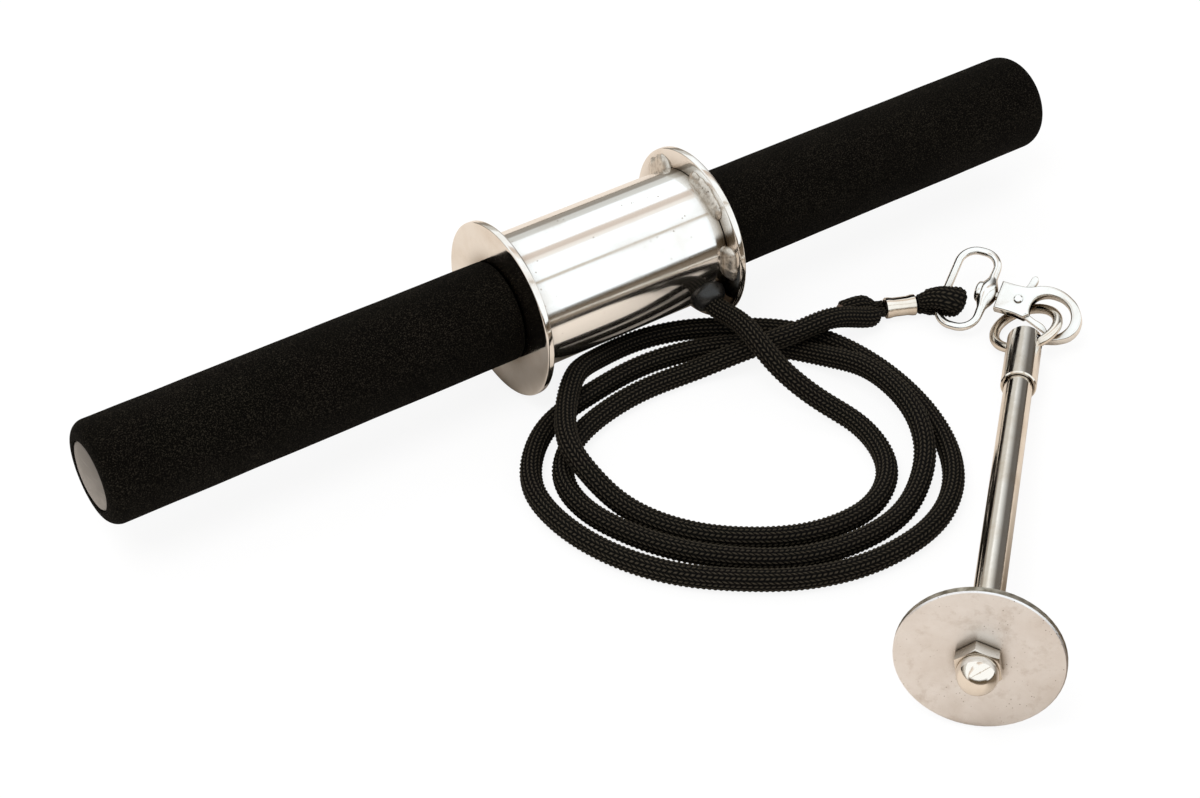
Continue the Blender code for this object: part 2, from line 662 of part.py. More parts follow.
def on_hook(place_in_hundredths):
    """A place, or a place with its corner mark, from hundredths of the hook's length."""
    x, y, *corner = place_in_hundredths
    return (x * HOOK_LENGTH / 100, y * HOOK_LENGTH / 100, *corner)


def build_hook(hook):
    """Cast snap body: a necked C plate, slotted for the trigger."""
    outline = [on_hook(point) for point in HOOK_OUTLINE]
    plate = plate_mesh("hook_body", outline, HOOK_THICKNESS, HOOK_EDGE)
    body = place(new_part("hook_body", plate, NICKEL), hook)
    neck = cutter(neck_mesh(), "hook_neck")
    place(neck, hook, turn=(0, 90, 0))
    boolean(body, neck, "UNION")
    half = SLOT_WIDTH / 2
    start, end = on_hook(SLOT_REACH)
    slot = cutter(box_mesh((start, -NECK_WIDTH, -half), (end, NECK_WIDTH, half)), "trigger_slot")
    slot.parent = hook
    boolean(body, slot)
    bore = cutter(rod_mesh(POST_DIAMETER / 2 + GAP, 2 * start, SMALL), "neck_bore")
    place(bore, hook, turn=(0, 90, 0), location=(GAP, 0, 0))
    boolean(body, bore)
    hole = cutter(rod_mesh(RIVET_DIAMETER / 2 + GAP, 3 * HOOK_THICKNESS, SMALL), "rivet_hole")
    place(hole, hook, location=(*on_hook(RIVET_PLACE), 0))
    boolean(body, hole)


def neck_mesh():
    """Oval neck along Z, tapering from the swivel's face into the plate."""
    shape = bmesh.new()
    bmesh.ops.create_cone(shape, cap_ends=True, segments=MEDIUM, radius1=NECK_WIDTH / 2,
                          radius2=NECK_TIP_WIDTH / 2, depth=NECK_LENGTH,
                          matrix=Matrix.Translation((0, 0, NECK_LENGTH / 2)))
    bmesh.ops.scale(shape, vec=(NECK_HEIGHT / NECK_WIDTH, 1, 1), verts=shape.verts)
    mesh = bpy.data.meshes.new("neck")
    shape.to_mesh(mesh)
    shape.free()
    return mesh


def build_trigger(hook):
    """Gate and thumb lever in one piece, about the rivet's axis."""
    pivot = frame("trigger_axis", hook, location=(*on_hook(RIVET_PLACE), 0))
    outline = [on_hook(point) for point in TRIGGER_OUTLINE]
    plate = plate_mesh("trigger", outline, SLOT_WIDTH - 2 * GAP, TRIGGER_EDGE)
    trigger = place(new_part("trigger", plate, NICKEL), pivot)
    hole = cutter(rod_mesh(RIVET_DIAMETER / 2 + GAP, 3 * SLOT_WIDTH, SMALL), "trigger_hole")
    place(hole, pivot)
    boolean(trigger, hole)
    pad = cutter(turned_mesh("thumb", barrel(THUMB_DIAMETER / 2, THUMB_LENGTH), SMALL, False), "thumb_pad")
    place(pad, hook, location=(*on_hook(THUMB_PLACE), 0))
    boolean(trigger, pad, "UNION")

    shaft = RIVET_DIAMETER / 2
    head = RIVET_HEAD / 2
    face = HOOK_THICKNESS / 2 + GAP
    top = face + RIVET_HEAD_HEIGHT
    crown = head - RIVET_HEAD_HEIGHT
    profile = [(0, top), (crown, top), (head, face), (shaft, face), (shaft, -face), (head, -face),
               (crown, -top), (0, -top)]
    place(turned("trigger_pin", profile, NICKEL, segments=SMALL), pivot)


# Ring and loading pin; X runs along the pin to the ring, Y along the cross bore

def build_pin(pin):
    build_ring(pin)
    build_rod(pin)
    build_disc(pin)
    build_nut(pin)


def cross_bore(part, pin, name):
    bore = cutter(rod_mesh(CROSS_BORE / 2, 2 * SLEEVE_DIAMETER, MEDIUM), name)
    place(bore, pin, turn=(90, 0, 0))
    boolean(part, bore)


def build_ring(pin):
    swing = frame("ring_axis", pin, turn=(0, RING_SWING, 0))
    bpy.ops.mesh.primitive_torus_add(major_segments=RING_FACETS[0], minor_segments=RING_FACETS[1],
                                     major_radius=RING_RADIUS, minor_radius=RING_WIRE / 2)
    torus = bpy.context.object
    mesh = torus.data
    bpy.data.objects.remove(torus, do_unlink=True)
    place(new_part("pin_ring", mesh, CHROME), swing, location=(RING_OFFSET, 0, 0))


def build_rod(pin):
    radius = ROD_DIAMETER / 2
    shoulder = -PIN_LENGTH + DISC_THICKNESS - SEAT_RECESS + GAP
    tip = -PIN_LENGTH - STUD_LENGTH + DISC_THICKNESS
    end = SLEEVE_END - GAP
    chamfer = SLEEVE_EDGE
    profile = [(0, end), (radius - chamfer, end), (radius, end - chamfer), (radius, shoulder),
               (STUD_DIAMETER / 2, shoulder), (STUD_DIAMETER / 2, tip), (0, tip)]
    rod = place(turned("pin_rod", profile, CHROME, segments=MEDIUM), pin, turn=(0, 90, 0))
    cross_bore(rod, pin, "rod_bore")

    outer = SLEEVE_DIAMETER / 2
    inner = SLEEVE_BORE / 2
    edge = SLEEVE_EDGE
    profile = [(inner, SLEEVE_END), (outer - edge, SLEEVE_END), (outer, SLEEVE_END - edge),
               (outer, edge - SLEEVE_START), (outer - edge, -SLEEVE_START), (inner, -SLEEVE_START)]
    sleeve = place(turned("pin_sleeve", profile, CHROME, segments=MEDIUM, ring=True), pin, turn=(0, 90, 0))
    cross_bore(sleeve, pin, "sleeve_bore")


def build_disc(pin):
    radius = DISC_DIAMETER / 2
    bore = STUD_DIAMETER / 2 + GAP
    back = DISC_THICKNESS
    sunk = back - SEAT_RECESS
    profile = [(bore, sunk), (SEAT_INSIDE, sunk), (SEAT_INSIDE, back), (radius - DISC_EDGE, back),
               (radius, back - DISC_EDGE), (radius, DISC_EDGE), (radius - DISC_EDGE, 0), (bore, 0)]
    disc = turned("load_disc", profile, SATIN, ring=True)
    place(disc, pin, location=(-PIN_LENGTH, 0, 0), turn=(0, 90, 0))


def build_nut(pin):
    """Acorn nut: a hexagon under a neck and a round dome, bored for the stud."""
    apothem = NUT_FLATS / 2
    hexagon = rod_mesh(apothem / math.cos(math.radians(30)), NUT_HEIGHT, 6, NUT_HEIGHT / 2)
    nut = new_part("acorn_nut", hexagon, CHROME)
    place(nut, pin, location=(-PIN_LENGTH - GAP, 0, 0), turn=(0, -90, 0))
    radius = NUT_DOME / 2
    shoulder = NUT_HEIGHT + NUT_NECK
    profile = [(r, z) for r, z in arc(0, shoulder, radius, 90, 0, 8)]
    profile[0] = (0, shoulder + radius)
    profile += [(radius, NUT_HEIGHT / 2), (0, NUT_HEIGHT / 2)]
    dome = cutter(turned_mesh("nut_dome", profile, MEDIUM, False), "nut_dome")
    dome.parent = nut
    boolean(nut, dome, "UNION")
    depth = STUD_LENGTH - DISC_THICKNESS + GAP
    bore = cutter(rod_mesh(STUD_DIAMETER / 2 + GAP, 2 * depth, MEDIUM), "nut_bore")
    bore.parent = nut
    boolean(nut, bore)


def pin_place(ring_place):
    """The cross bore's place and turn: the ring reaches the hook, and the disc's edge the floor."""
    angle = math.radians(RING_HANG)
    wire = Vector((RING_OFFSET + RING_RADIUS * math.cos(angle), RING_RADIUS * math.sin(angle), 0))
    wire.rotate(Euler((0, math.radians(RING_SWING), 0)))
    radius = DISC_DIAMETER / 2
    reach = PIN_LENGTH - DISC_THICKNESS
    tilt = 0
    for _ in range(SETTLING_PASSES):
        turn = Euler((math.radians(PIN_ROLL), tilt, math.radians(PIN_YAW)))
        start = ring_place - turn.to_matrix() @ wire
        tilt = math.acos(start.z / math.hypot(radius, reach)) - math.atan2(reach, radius)
    return start, (PIN_ROLL, math.degrees(tilt), PIN_YAW)


def centre_on_floor(ground):
    """Moves everything so that the rigid pieces' box stands centred over the origin."""
    bpy.context.view_layer.update()
    graph = bpy.context.evaluated_depsgraph_get()
    corners = []
    for part in PARTS.objects:
        if part.type == "MESH" and not part.name.startswith("rope"):
            solid = part.evaluated_get(graph)
            corners += [solid.matrix_world @ vertex.co for vertex in solid.data.vertices]
    low = np.min(corners, axis=0)
    high = np.max(corners, axis=0)
    ground.location = (-(low[0] + high[0]) / 2, -(low[1] + high[1]) / 2, -low[2])
    bpy.context.view_layer.update()


clear_scene()
PARTS = new_collection("forearm_trainer")
CUTTERS = new_collection("cutters")
STEEL = material("polished_steel", (0.78, 0.76, 0.73), 0.18, 1)
CHROME = material("chrome", (0.80, 0.78, 0.75), 0.08, 1)
NICKEL = material("bright_nickel", (0.84, 0.83, 0.80), 0.12, 1)
SATIN = material("satin_plating", (0.74, 0.68, 0.60), 0.35, 1)
FOAM = material("black_foam", (0.030, 0.027, 0.024), 0.85, 0)
CAP_PLASTIC = material("grey_plastic", (0.16, 0.16, 0.17), 0.45, 0)
RUBBER = material("black_rubber", (0.012, 0.012, 0.012), 0.25, 0)
BRAID = material("black_braid", (0.035, 0.030, 0.025), 0.75, 0)

GROUND = frame("ground", None)
BAR = frame("bar", GROUND, location=(0, 0, BAR_HEIGHT))
SWIVEL = frame("swivel", GROUND, location=SWIVEL_PLACE, turn=(0, SWIVEL_PITCH, SWIVEL_YAW))
BOW_PLANE = frame("bow_plane", SWIVEL, turn=(BOW_ROLL, 0, 0))
BOW = frame("bow_axis", BOW_PLANE, location=(-BOW_FAR, BOW_EYE_OFFSET, 0))
HOOK = frame("hook_axis", SWIVEL, turn=(HOOK_ROLL, 0, 0))
bpy.context.view_layer.update()
PIN_START, PIN_TURN = pin_place(HOOK.matrix_world @ Vector((*on_hook(RING_PLACE), 0)))
PIN = frame("pin_axis", GROUND, location=PIN_START, turn=PIN_TURN)

build_bar(BAR)
build_rope(GROUND)
build_ferrule(GROUND)
build_bow(BOW)
build_eye(GROUND, BOW)
build_post(HOOK)
build_hook(HOOK)
build_trigger(HOOK)
build_pin(PIN)
centre_on_floor(GROUND)
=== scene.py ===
"""Looks of the forearm trainer: foam grips, plated steel, braided rope and studio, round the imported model.

Sizes are in metres, and angles in degrees.
"""

import math

import bmesh
import bpy
import numpy as np
from mathutils import Euler, Matrix, Vector, noise


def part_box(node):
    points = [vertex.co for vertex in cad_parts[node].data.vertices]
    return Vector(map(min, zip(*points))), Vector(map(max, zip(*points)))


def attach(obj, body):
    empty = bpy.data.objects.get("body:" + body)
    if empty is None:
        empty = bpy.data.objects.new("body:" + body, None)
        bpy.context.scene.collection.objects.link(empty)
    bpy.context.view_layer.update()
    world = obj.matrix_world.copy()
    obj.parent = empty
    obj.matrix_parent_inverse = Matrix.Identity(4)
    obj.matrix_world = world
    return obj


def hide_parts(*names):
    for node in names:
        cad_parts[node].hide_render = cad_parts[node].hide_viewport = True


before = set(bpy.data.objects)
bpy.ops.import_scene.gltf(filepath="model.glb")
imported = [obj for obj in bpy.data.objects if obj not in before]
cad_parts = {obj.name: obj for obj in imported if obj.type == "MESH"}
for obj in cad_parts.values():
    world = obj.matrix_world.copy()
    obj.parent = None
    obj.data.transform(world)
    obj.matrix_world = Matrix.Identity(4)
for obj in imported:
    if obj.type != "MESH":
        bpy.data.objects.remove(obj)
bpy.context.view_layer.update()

# The bar's axis, from the imported drum's box.
DRUM_LOW, DRUM_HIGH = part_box("drum_tube")
BAR_AXIS = (DRUM_LOW + DRUM_HIGH) / 2
DRUM_RADIUS = (DRUM_HIGH.z - DRUM_LOW.z) / 2
GROUND = Vector((BAR_AXIS.x, BAR_AXIS.y, 0))

# Camera, fitted to the photograph: place from the bar's middle on the floor, and turn in degrees.
CAMERA_PLACE = Vector((-0.44133, -0.65934, 0.64240))
CAMERA_TURN = (49.61, 0, -33.85)
CAMERA_LENS = 73.13
CAMERA_SENSOR = 36

# Bar, in the sizes of the part's source.
GRIP_RADIUS = 0.021
GRIP_ROOT_RADIUS = 0.001
GRIP_BORE = 0.0128
GRIP_LENGTH = 0.177
FLANGE_FACE = 0.045
FLANGE_THICKNESS = 0.003
FLANGE_RADIUS = 0.037
DRUM_WALL = 0.003
GAP = 0.0003

# Bar's finer forms: rounded ends and rims, the caps' low dome, and how much further the left grip reaches.
GRIP_END_RADIUS = 0.0056
FLANGE_EDGE = 0.0007
CAP_RECESS = 0.0143
RECESS_DEPTH = 0.0041
CAP_CROWN = 0.0006
CAP_DOME = 0.0023
CAP_RISE = 0.0017
CAP_CENTRE = 0.0001
LEFT_OVERHANG = 0.0010

# Points round each turned piece, rings along the grips, and how far the foam's surface strays.
DRUM_POINTS = 160
GRIP_POINTS = 120
CAP_POINTS = 96
GRIP_RINGS = 110
FOAM_LUMP = 0.00012
FOAM_LUMP_SIZE = 0.016

# Swivel and hook, in the sizes of the part's source but with rounder edges.
SWIVEL_PLACE = Vector((0.14646, -0.08273, 0.01291))
SWIVEL_TURN = (0, -1.3, -60.1)
BOW_ROLL = 21.5
HOOK_ROLL = 31.5
BOW_WIRE = 0.0034
BOW_NEAR = 0.0049
BOW_FAR = 0.0217
BOW_HALF_WIDTH = 0.0193
BOW_CORNER = 0.0075
BOW_EYE_OFFSET = -0.0076
HOOK_LENGTH = 0.0369
HOOK_UNIT = HOOK_LENGTH / 100
HOOK_THICKNESS = 0.0056
HOOK_EDGE = 0.0011
TRIGGER_EDGE = 0.0005
SLOT_WIDTH = 0.0030
SLOT_REACH = (15.4, 43.1)
RIVET_PLACE = (24.4, 0.3)

# Bow's thickened middle, where the swivel's post passes through it, and how its arm flares towards it.
BOSS_RADIUS = 0.0045
BOSS_REACH = 0.0078
BOW_FLARE = 0.35

# Outlines in hook units, hundredths of its length, a 1 marking a corner; the trigger's is about the rivet.
HOOK_OUTLINE = (
    (0, 17.6, 1), (19.5, 17.3, 0), (32, 18.7, 0), (44.7, 23.8, 0), (61, 25.5, 0), (79.4, 19.8, 0),
    (93.8, 7.6, 0), (100, -7.6, 0), (95.9, -24.9, 0), (84, -34.7, 0), (65.9, -40.4, 1), (64, -32.8, 1),
    (74.8, -30.1, 0), (84.8, -21.1, 0), (88.1, -10, 0), (84.8, 1.6, 0), (76.4, 10.6, 0), (63.7, 14.6, 0),
    (49.9, 12.5, 0), (41.5, 4.6, 0), (39.6, -5.4, 0), (41.7, -14.1, 1), (35.8, -19.5, 1), (23, -17.6, 0),
    (0, -17.1, 1))
TRIGGER_OUTLINE = (
    (-7.9, 1.1, 0), (-5.7, -6.2, 0), (1.6, -11.9, 0), (11.4, -17.9, 0), (24.4, -23.3, 0), (41.5, -30.4, 1),
    (43.4, -27.4, 1), (36.3, -20.6, 0), (23.3, -16, 0), (14.4, -11.1, 0), (9.5, -3.3, 0), (9.2, 8.1, 0),
    (11.9, 20.6, 0), (12.6, 31.8, 0), (9.0, 33.9, 0), (3.4, 20.5, 0), (-2.4, 8.4, 0))

# Weld puddles on the flanges: start and end angle up from the front, width out from the drum.
WELDS_RIGHT = ((-10, 20, 0.0056), (42, 90, 0.0050), (118, 152, 0.0062))
WELDS_LEFT = ((12, 41, 0.0048), (54, 86, 0.0050), (114, 148, 0.0050))
WELD_HEIGHT = 0.0023
WELD_SINK = 0.0004
WELD_STEP = 0.0003
WELD_ARC = (-8, 98)
WELD_UNEVEN = 0.15
WELD_RIPPLE = 0.0016
WELD_RIPPLE_DEPTH = 0.012
WELD_CRESCENT = 0.9

# Shading: how near points of packed and of baked pieces are joined, and how steep an edge stays sharp.
PACKED_JOIN = 0.000001
BAKED_JOIN = 0.00001
SHARP_ANGLE = 32

# Rubber collar round the rope's hole: its dome, its bore, and how deep it stands in the drum's wall.
COLLAR_RADIUS = 0.0076
COLLAR_HEIGHT = 0.0048
COLLAR_BORE = 0.0043
COLLAR_SINK = 0.0008
COLLAR_POINTS = 72
COLLAR_ARC = (8, 78)

# Rope, in the sizes of the part's source: the hole in the drum, the inner end, and the way out of the collar.
ROPE_DIAMETER = 0.009
ROPE_X = 0.0372
ROPE_HOLE_ANGLE = 27
ROPE_INNER_END = 0.015
ROPE_EXIT = DRUM_RADIUS + 0.0036
HOLE_OUT = Vector((0, -math.cos(math.radians(ROPE_HOLE_ANGLE)), -math.sin(math.radians(ROPE_HOLE_ANGLE))))
HOLE_UP = Vector((0, HOLE_OUT.z, -HOLE_OUT.y))

# Ferrule, and the two strands that are crushed side by side in it.
FERRULE_START = Vector((0.1080, -0.0555, 0.0056))
FERRULE_END = Vector((0.1204, -0.0610, 0.0059))
CRUSHED_DIAMETER = 0.0042
CRUSHED_SPACING = 0.0046
CRUSHED_LEAD = 0.003
CRUSH_REACH = 0.0055

# Eye round the bow: a flat strand that widens from the ferrule, wraps the arm and leans to one side.
EYE_THICKNESS = 0.0052
EYE_SLACK = 0.0030
EYE_TURN_SHARE = 0.3
EYE_START_WIDTH = 0.0090
EYE_WIDTH = 0.0118
EYE_SHEAR = 0.0026
EYE_CRUSH_REACH = 0.0013
EYE_WRAP = 95

# Tail: its rounded end, and the melted bead there.
TAIL_END_DIAMETER = 0.0084
TIP_REACH = 0.0016
TIP_BEAD = 0.0031
TIP_LUMP = 0.12
TIP_LUMPS_ACROSS = 1.5
TIP_SINK = 0.0016

# Rope's route over the floor from the bar's middle, repeated from the part's source, in metres.
ROPE_ROUTE = (
    (.038, -.041, .0226), (.0376, -.052, .024), (.037, -.062, .0226), (.0385, -.072, .018),
    (.0425, -.082, .0125), (.048, -.092, .0075), (.0525, -.104, .005), (.052, -.119, .0048),
    (.0465, -.133, .0048), (.038, -.142, .0048), (.027, -.1475, .0048), (.014, -.149, .0048),
    (-.003, -.146, .0048), (-.019, -.138, .0048), (-.035, -.125, .0048), (-.0465, -.1085, .0048),
    (-.053, -.092, .0065), (-.056, -.078, .011), (-.056, -.065, .0146), (-.05, -.0515, .0148),
    (-.039, -.037, .015), (-.0285, -.0275, .0144), (-.016, -.021, .0106), (-.003, -.016, .0065),
    (.01, -.0145, .0048), (.032, -.0205, .0048), (.051, -.032, .0048), (.067, -.0455, .0048),
    (.077, -.063, .0048), (.082, -.086, .0048), (.0815, -.11, .0048), (.076, -.132, .0048),
    (.065, -.1515, .0048), (.047, -.166, .0048), (.023, -.172, .0048), (0, -.1705, .0048),
    (-.021, -.163, .0048), (-.0395, -.151, .0048), (-.0575, -.1345, .0048), (-.071, -.112, .0048),
    (-.077, -.088, .0048), (-.075, -.067, .0048), (-.065, -.051, .0048), (-.0485, -.0385, .0048),
    (-.025, -.032, .0048), (.002, -.029, .0048), (.027, -.033, .0048), (.046, -.042, .0048),
    (.059, -.054, .0048), (.067, -.07, .0078), (.071, -.088, .013), (.0715, -.107, .0144),
    (.0685, -.123, .0135), (.062, -.137, .01), (.051, -.148, .0065), (.036, -.1565, .0048),
    (.013, -.16, .0048), (-.012, -.155, .0048), (-.0325, -.142, .0048), (-.048, -.126, .0048),
    (-.0595, -.106, .0048), (-.065, -.086, .0048), (-.0615, -.0675, .0048), (-.0495, -.0545, .0048),
    (-.029, -.0455, .0048), (-.003, -.042, .0048), (.019, -.044, .0055), (.033, -.049, .01),
    (.046, -.054, .014), (.06, -.057, .0156), (.076, -.0575, .0154), (.091, -.0573, .0095),
    (.1, -.0576, .0064))
TAIL_ROUTE = ((.1046, -.05, .0052), (.1, -.0473, .0049), (.092, -.0458, .0048))

# Braid: columns of slanted stitches round the rope, in herringbone.
BRAID_COLUMNS = 16
STITCH_LENGTH = 0.0021
STITCH_SLANT = 0.0018
STITCH_DEPTH = 0.00060
RINGS_PER_STITCH = 3

# Plating: the brown of its painted shade near other surfaces, how near that shade reaches, and how deep its
# fine dents are.
PAINTED_SHADE_REACH = 0.008
PAINTED_CREVICE_SHADE = (0.22, 0.165, 0.105)
PLATING_DENTS = 0.00006

# Acorn nut: its seat on the disc from the bar's middle, the pin's direction, and its corners' turn.
NUT_SEAT = Vector((-0.00971, -0.25009, 0.03022))
PIN_AXIS = (0.7202, 0.6861, -0.1025)
NUT_TURN = 43.0
NUT_POINTS = 120
NUT_CORNER_RADIUS = 0.00895
NUT_CHAMFER = 0.985
NUT_HEIGHT = 0.0052
NUT_DOME_RADIUS = 0.0074
NUT_DOME_RISE = 0.0071

# Floor: the share of it that glows white to the camera, its reach, and how far it lies under the object.
FLOOR_GLOW = 0.88
FLOOR_REACH = 1.6
FLOOR_DROP = 0.0002

# Floor as plating mirrors it, with darker patches: where each fades in over X, and over Y from the bar.
FLOOR_MIRRORED = (0.74, 0.66, 0.58)
FLOOR_DARK = (0.17, 0.135, 0.10)
FLOOR_PATCHES = (((-0.02, 0.05), (-0.16, -0.22)), ((0.05, -0.02), (-0.40, -0.50)))

# Light: even light on matt surfaces, and lamps that plating doesn't mirror: place, size and power.
DIFFUSE_LIGHT = (0.75, 0.74, 0.73)
LAMPS = {
    "key_softbox": ((-0.7, -0.3, 1.5), (0.9, 0.9), 14),
    "back_softbox": ((0.3, 1.2, 1.3), (1.6, 0.8), 7)}
LAMP_TARGET = Vector((0, -0.1, 0.02))

# Panels in the plating's mirror images, each from its angle up from the front and over, in degrees.
PANELS = (
    (-180, (0.16, 0.12, 0.08)), (-20, (0.10, 0.07, 0.045)), (1, (0.13, 0.11, 0.08)), (5, (1.18, 1.24, 1.28)),
    (57.5, (0.52, 0.42, 0.30)), (61, (1.18, 1.24, 1.28)), (94, (1.0, 0.95, 0.89)), (101, (0.76, 0.66, 0.58)),
    (112, (1.18, 1.24, 1.28)), (148, (0.72, 0.72, 0.69)), (164, (0.34, 0.31, 0.27)))
PANEL_EDGE = 0.8

# Patches over the panels: colour, strength, and where each fades in over the direction's X, Y or Z (0, 1, 2).
PATCHES = (
    ((0.13, 0.10, 0.065), 1.0, ((1, 0.10, -0.10), (2, 0.34, 0.20), (0, 0.26, 0.06))),
    ((1.18, 1.24, 1.28), 1.0, ((0, 0.15, 0.0), (2, 0.84, 0.92))),
    ((0.045, 0.032, 0.020), 0.9, ((1, -0.02, 0.02), (0, 0.5, 0.85))))


def turned_by(place, turn):
    return Matrix.Translation(place) @ Euler([math.radians(angle) for angle in turn]).to_matrix().to_4x4()


SWIVEL = turned_by(GROUND + SWIVEL_PLACE, SWIVEL_TURN)
BOW_PLANE = SWIVEL @ turned_by((0, 0, 0), (BOW_ROLL, 0, 0))
HOOK = SWIVEL @ turned_by((0, 0, 0), (HOOK_ROLL, 0, 0))


# Camera

def make_camera():
    data = bpy.data.cameras.new("camera")
    data.sensor_fit = "HORIZONTAL"
    data.sensor_width = CAMERA_SENSOR
    data.lens = CAMERA_LENS
    data.clip_start = 0.05
    data.clip_end = 20
    camera = bpy.data.objects.new("camera", data)
    bpy.context.scene.collection.objects.link(camera)
    camera.location = GROUND + CAMERA_PLACE
    camera.rotation_euler = [math.radians(angle) for angle in CAMERA_TURN]
    bpy.context.scene.camera = camera


# Nodes

class Shading:
    """A material's or the world's node tree, with short calls for the nodes that it needs."""

    def __init__(self, name, world=None):
        self.material = world or bpy.data.materials.new(name)
        self.material.use_nodes = True
        self.tree = self.material.node_tree
        self.shader = self.tree.nodes["Background" if world else "Principled BSDF"]
        self.where = self.add("ShaderNodeTexCoord").outputs["Object"]

    def add(self, kind, **settings):
        node = self.tree.nodes.new(kind)
        for key, value in settings.items():
            setattr(node, key, value)
        return node

    def join(self, value, socket):
        if isinstance(value, bpy.types.NodeSocket):
            self.tree.links.new(value, socket)
        else:
            socket.default_value = value

    def set(self, **values):
        """Sets the shader's sockets; underscores stand for spaces."""
        for key, value in values.items():
            self.join(value, self.shader.inputs[key.replace("_", " ")])

    def scaled(self, scale):
        mapping = self.add("ShaderNodeMapping")
        self.join(self.where, mapping.inputs["Vector"])
        mapping.inputs["Scale"].default_value = scale
        return mapping.outputs["Vector"]

    def noise(self, scale, detail=2.0, where=None, roughness=0.5):
        node = self.add("ShaderNodeTexNoise")
        self.join(where or self.where, node.inputs["Vector"])
        node.inputs["Scale"].default_value = scale
        node.inputs["Detail"].default_value = detail
        node.inputs["Roughness"].default_value = roughness
        return node.outputs["Fac"]

    def cells(self, scale):
        node = self.add("ShaderNodeTexVoronoi")
        self.join(self.where, node.inputs["Vector"])
        node.inputs["Scale"].default_value = scale
        return node.outputs["Distance"]

    def range(self, value, low, high, to_low=0.0, to_high=1.0):
        node = self.add("ShaderNodeMapRange")
        node.clamp = True
        self.join(value, node.inputs["Value"])
        for socket, number in zip(("From Min", "From Max", "To Min", "To Max"), (low, high, to_low, to_high)):
            self.join(number, node.inputs[socket])
        return node.outputs["Result"]

    def math(self, operation, first, second=0.0):
        node = self.add("ShaderNodeMath", operation=operation)
        self.join(first, node.inputs[0])
        self.join(second, node.inputs[1])
        return node.outputs[0]

    def split(self, vector):
        node = self.add("ShaderNodeSeparateXYZ")
        self.join(vector, node.inputs[0])
        return node.outputs

    def mix(self, share, first, second):
        node = self.add("ShaderNodeMix", data_type="RGBA")
        self.join(share, node.inputs["Factor"])
        self.join(colour(first), node.inputs["A"])
        self.join(colour(second), node.inputs["B"])
        return node.outputs["Result"]

    def painted_crevice_shade(self, tint, reach=PAINTED_SHADE_REACH):
        """The tint, browned as painted shade where other surfaces stand close by."""
        node = self.add("ShaderNodeAmbientOcclusion", samples=6)
        node.inputs["Distance"].default_value = reach
        return self.mix(self.range(node.outputs["AO"], 0.35, 0.92), PAINTED_CREVICE_SHADE, tint)

    def bump(self, height, distance, strength=1.0, normal=None):
        node = self.add("ShaderNodeBump")
        node.inputs["Strength"].default_value = strength
        node.inputs["Distance"].default_value = distance
        self.join(height, node.inputs["Height"])
        if normal:
            self.join(normal, node.inputs["Normal"])
        return node.outputs["Normal"]


def colour(value):
    return value if isinstance(value, bpy.types.NodeSocket) else (*value, 1)


# Materials; their scales are cells or waves per metre

def foam_material():
    """Fine-celled foam: near black, with brown specks where cell walls catch the light."""
    look = Shading("black_foam")
    grain = look.noise(1900, detail=1, roughness=0.6)
    patches = look.noise(40, detail=2)
    speck = look.range(look.math("MULTIPLY", grain, look.range(patches, 0.3, 0.7, 0.95, 1.03)), 0.50, 0.74)
    look.set(Base_Color=look.mix(speck, (0.0017, 0.0014, 0.0010), (0.023, 0.0195, 0.014)), Roughness=0.95,
             Specular_IOR_Level=0.04)
    look.set(Normal=look.bump(grain, 0.0005, 0.8))
    return look.material


def cap_material():
    look = Shading("grey_plastic")
    mottle = look.noise(170, detail=4, roughness=0.6)
    scuffs = look.noise(1, detail=2, where=look.scaled((60, 90, 1500)))
    grain = look.noise(2600, detail=1)
    tint = look.mix(look.range(mottle, 0.3, 0.7), (0.135, 0.12, 0.105), (0.23, 0.205, 0.18))
    tint = look.mix(look.range(scuffs, 0.6, 0.75, 0, 0.5), tint, (0.33, 0.30, 0.27))
    # Painted shade: the cap darkens towards its top, where the foam's rim would shade it.
    height = look.split(look.where)[2]
    painted_top_shade = look.range(height, BAR_AXIS.z - 0.004, BAR_AXIS.z + 0.015, 0, 0.75)
    look.set(Base_Color=look.mix(painted_top_shade, tint, (0.06, 0.052, 0.044)),
             Roughness=look.range(mottle, 0.3, 0.7, 0.45, 0.62), Normal=look.bump(grain, 0.0001, 0.4))
    return look.material


def rubber_material():
    look = Shading("black_rubber")
    grain = look.noise(900)
    look.set(Base_Color=look.mix(grain, (0.006, 0.006, 0.006), (0.016, 0.015, 0.014)),
             Roughness=look.range(grain, 0.3, 0.7, 0.24, 0.40), Normal=look.bump(grain, 0.0001, 0.3))
    return look.material


def drum_material():
    """Drawn tube: streaks along the bar, a few cross scratches, warm stains."""
    look = Shading("drawn_steel")
    streaks = look.noise(1, detail=4, where=look.scaled((9, 900, 900)), roughness=0.6)
    pits = look.cells(330)
    pit = look.math("MULTIPLY", look.range(pits, 0.14, 0.05), look.range(look.noise(90), 0.54, 0.62))
    broad = look.noise(1, detail=2, where=look.scaled((4, 160, 160)))
    scratch = look.noise(1, detail=1, where=look.scaled((1400, 60, 60)))
    stain = look.noise(45, detail=3)
    tint = look.mix(look.range(broad, 0.35, 0.65), (0.86, 0.85, 0.83), (0.93, 0.92, 0.90))
    tint = look.mix(look.range(stain, 0.55, 0.8, 0, 0.6), tint, (0.76, 0.70, 0.63))
    tint = look.mix(pit, tint, (0.30, 0.22, 0.15))
    # Painted shade: the tint browns near the flanges and the collar.
    look.set(Metallic=1.0, Base_Color=look.painted_crevice_shade(tint))
    rough = look.math("ADD", look.range(streaks, 0.3, 0.7, 0.06, 0.15), look.range(stain, 0.5, 0.8, 0, 0.06))
    look.set(Roughness=rough)
    height = look.math("ADD", streaks, look.range(scratch, 0.62, 0.72, 0, 0.5))
    look.set(Normal=look.bump(height, 0.00003, 0.3))
    return look.material


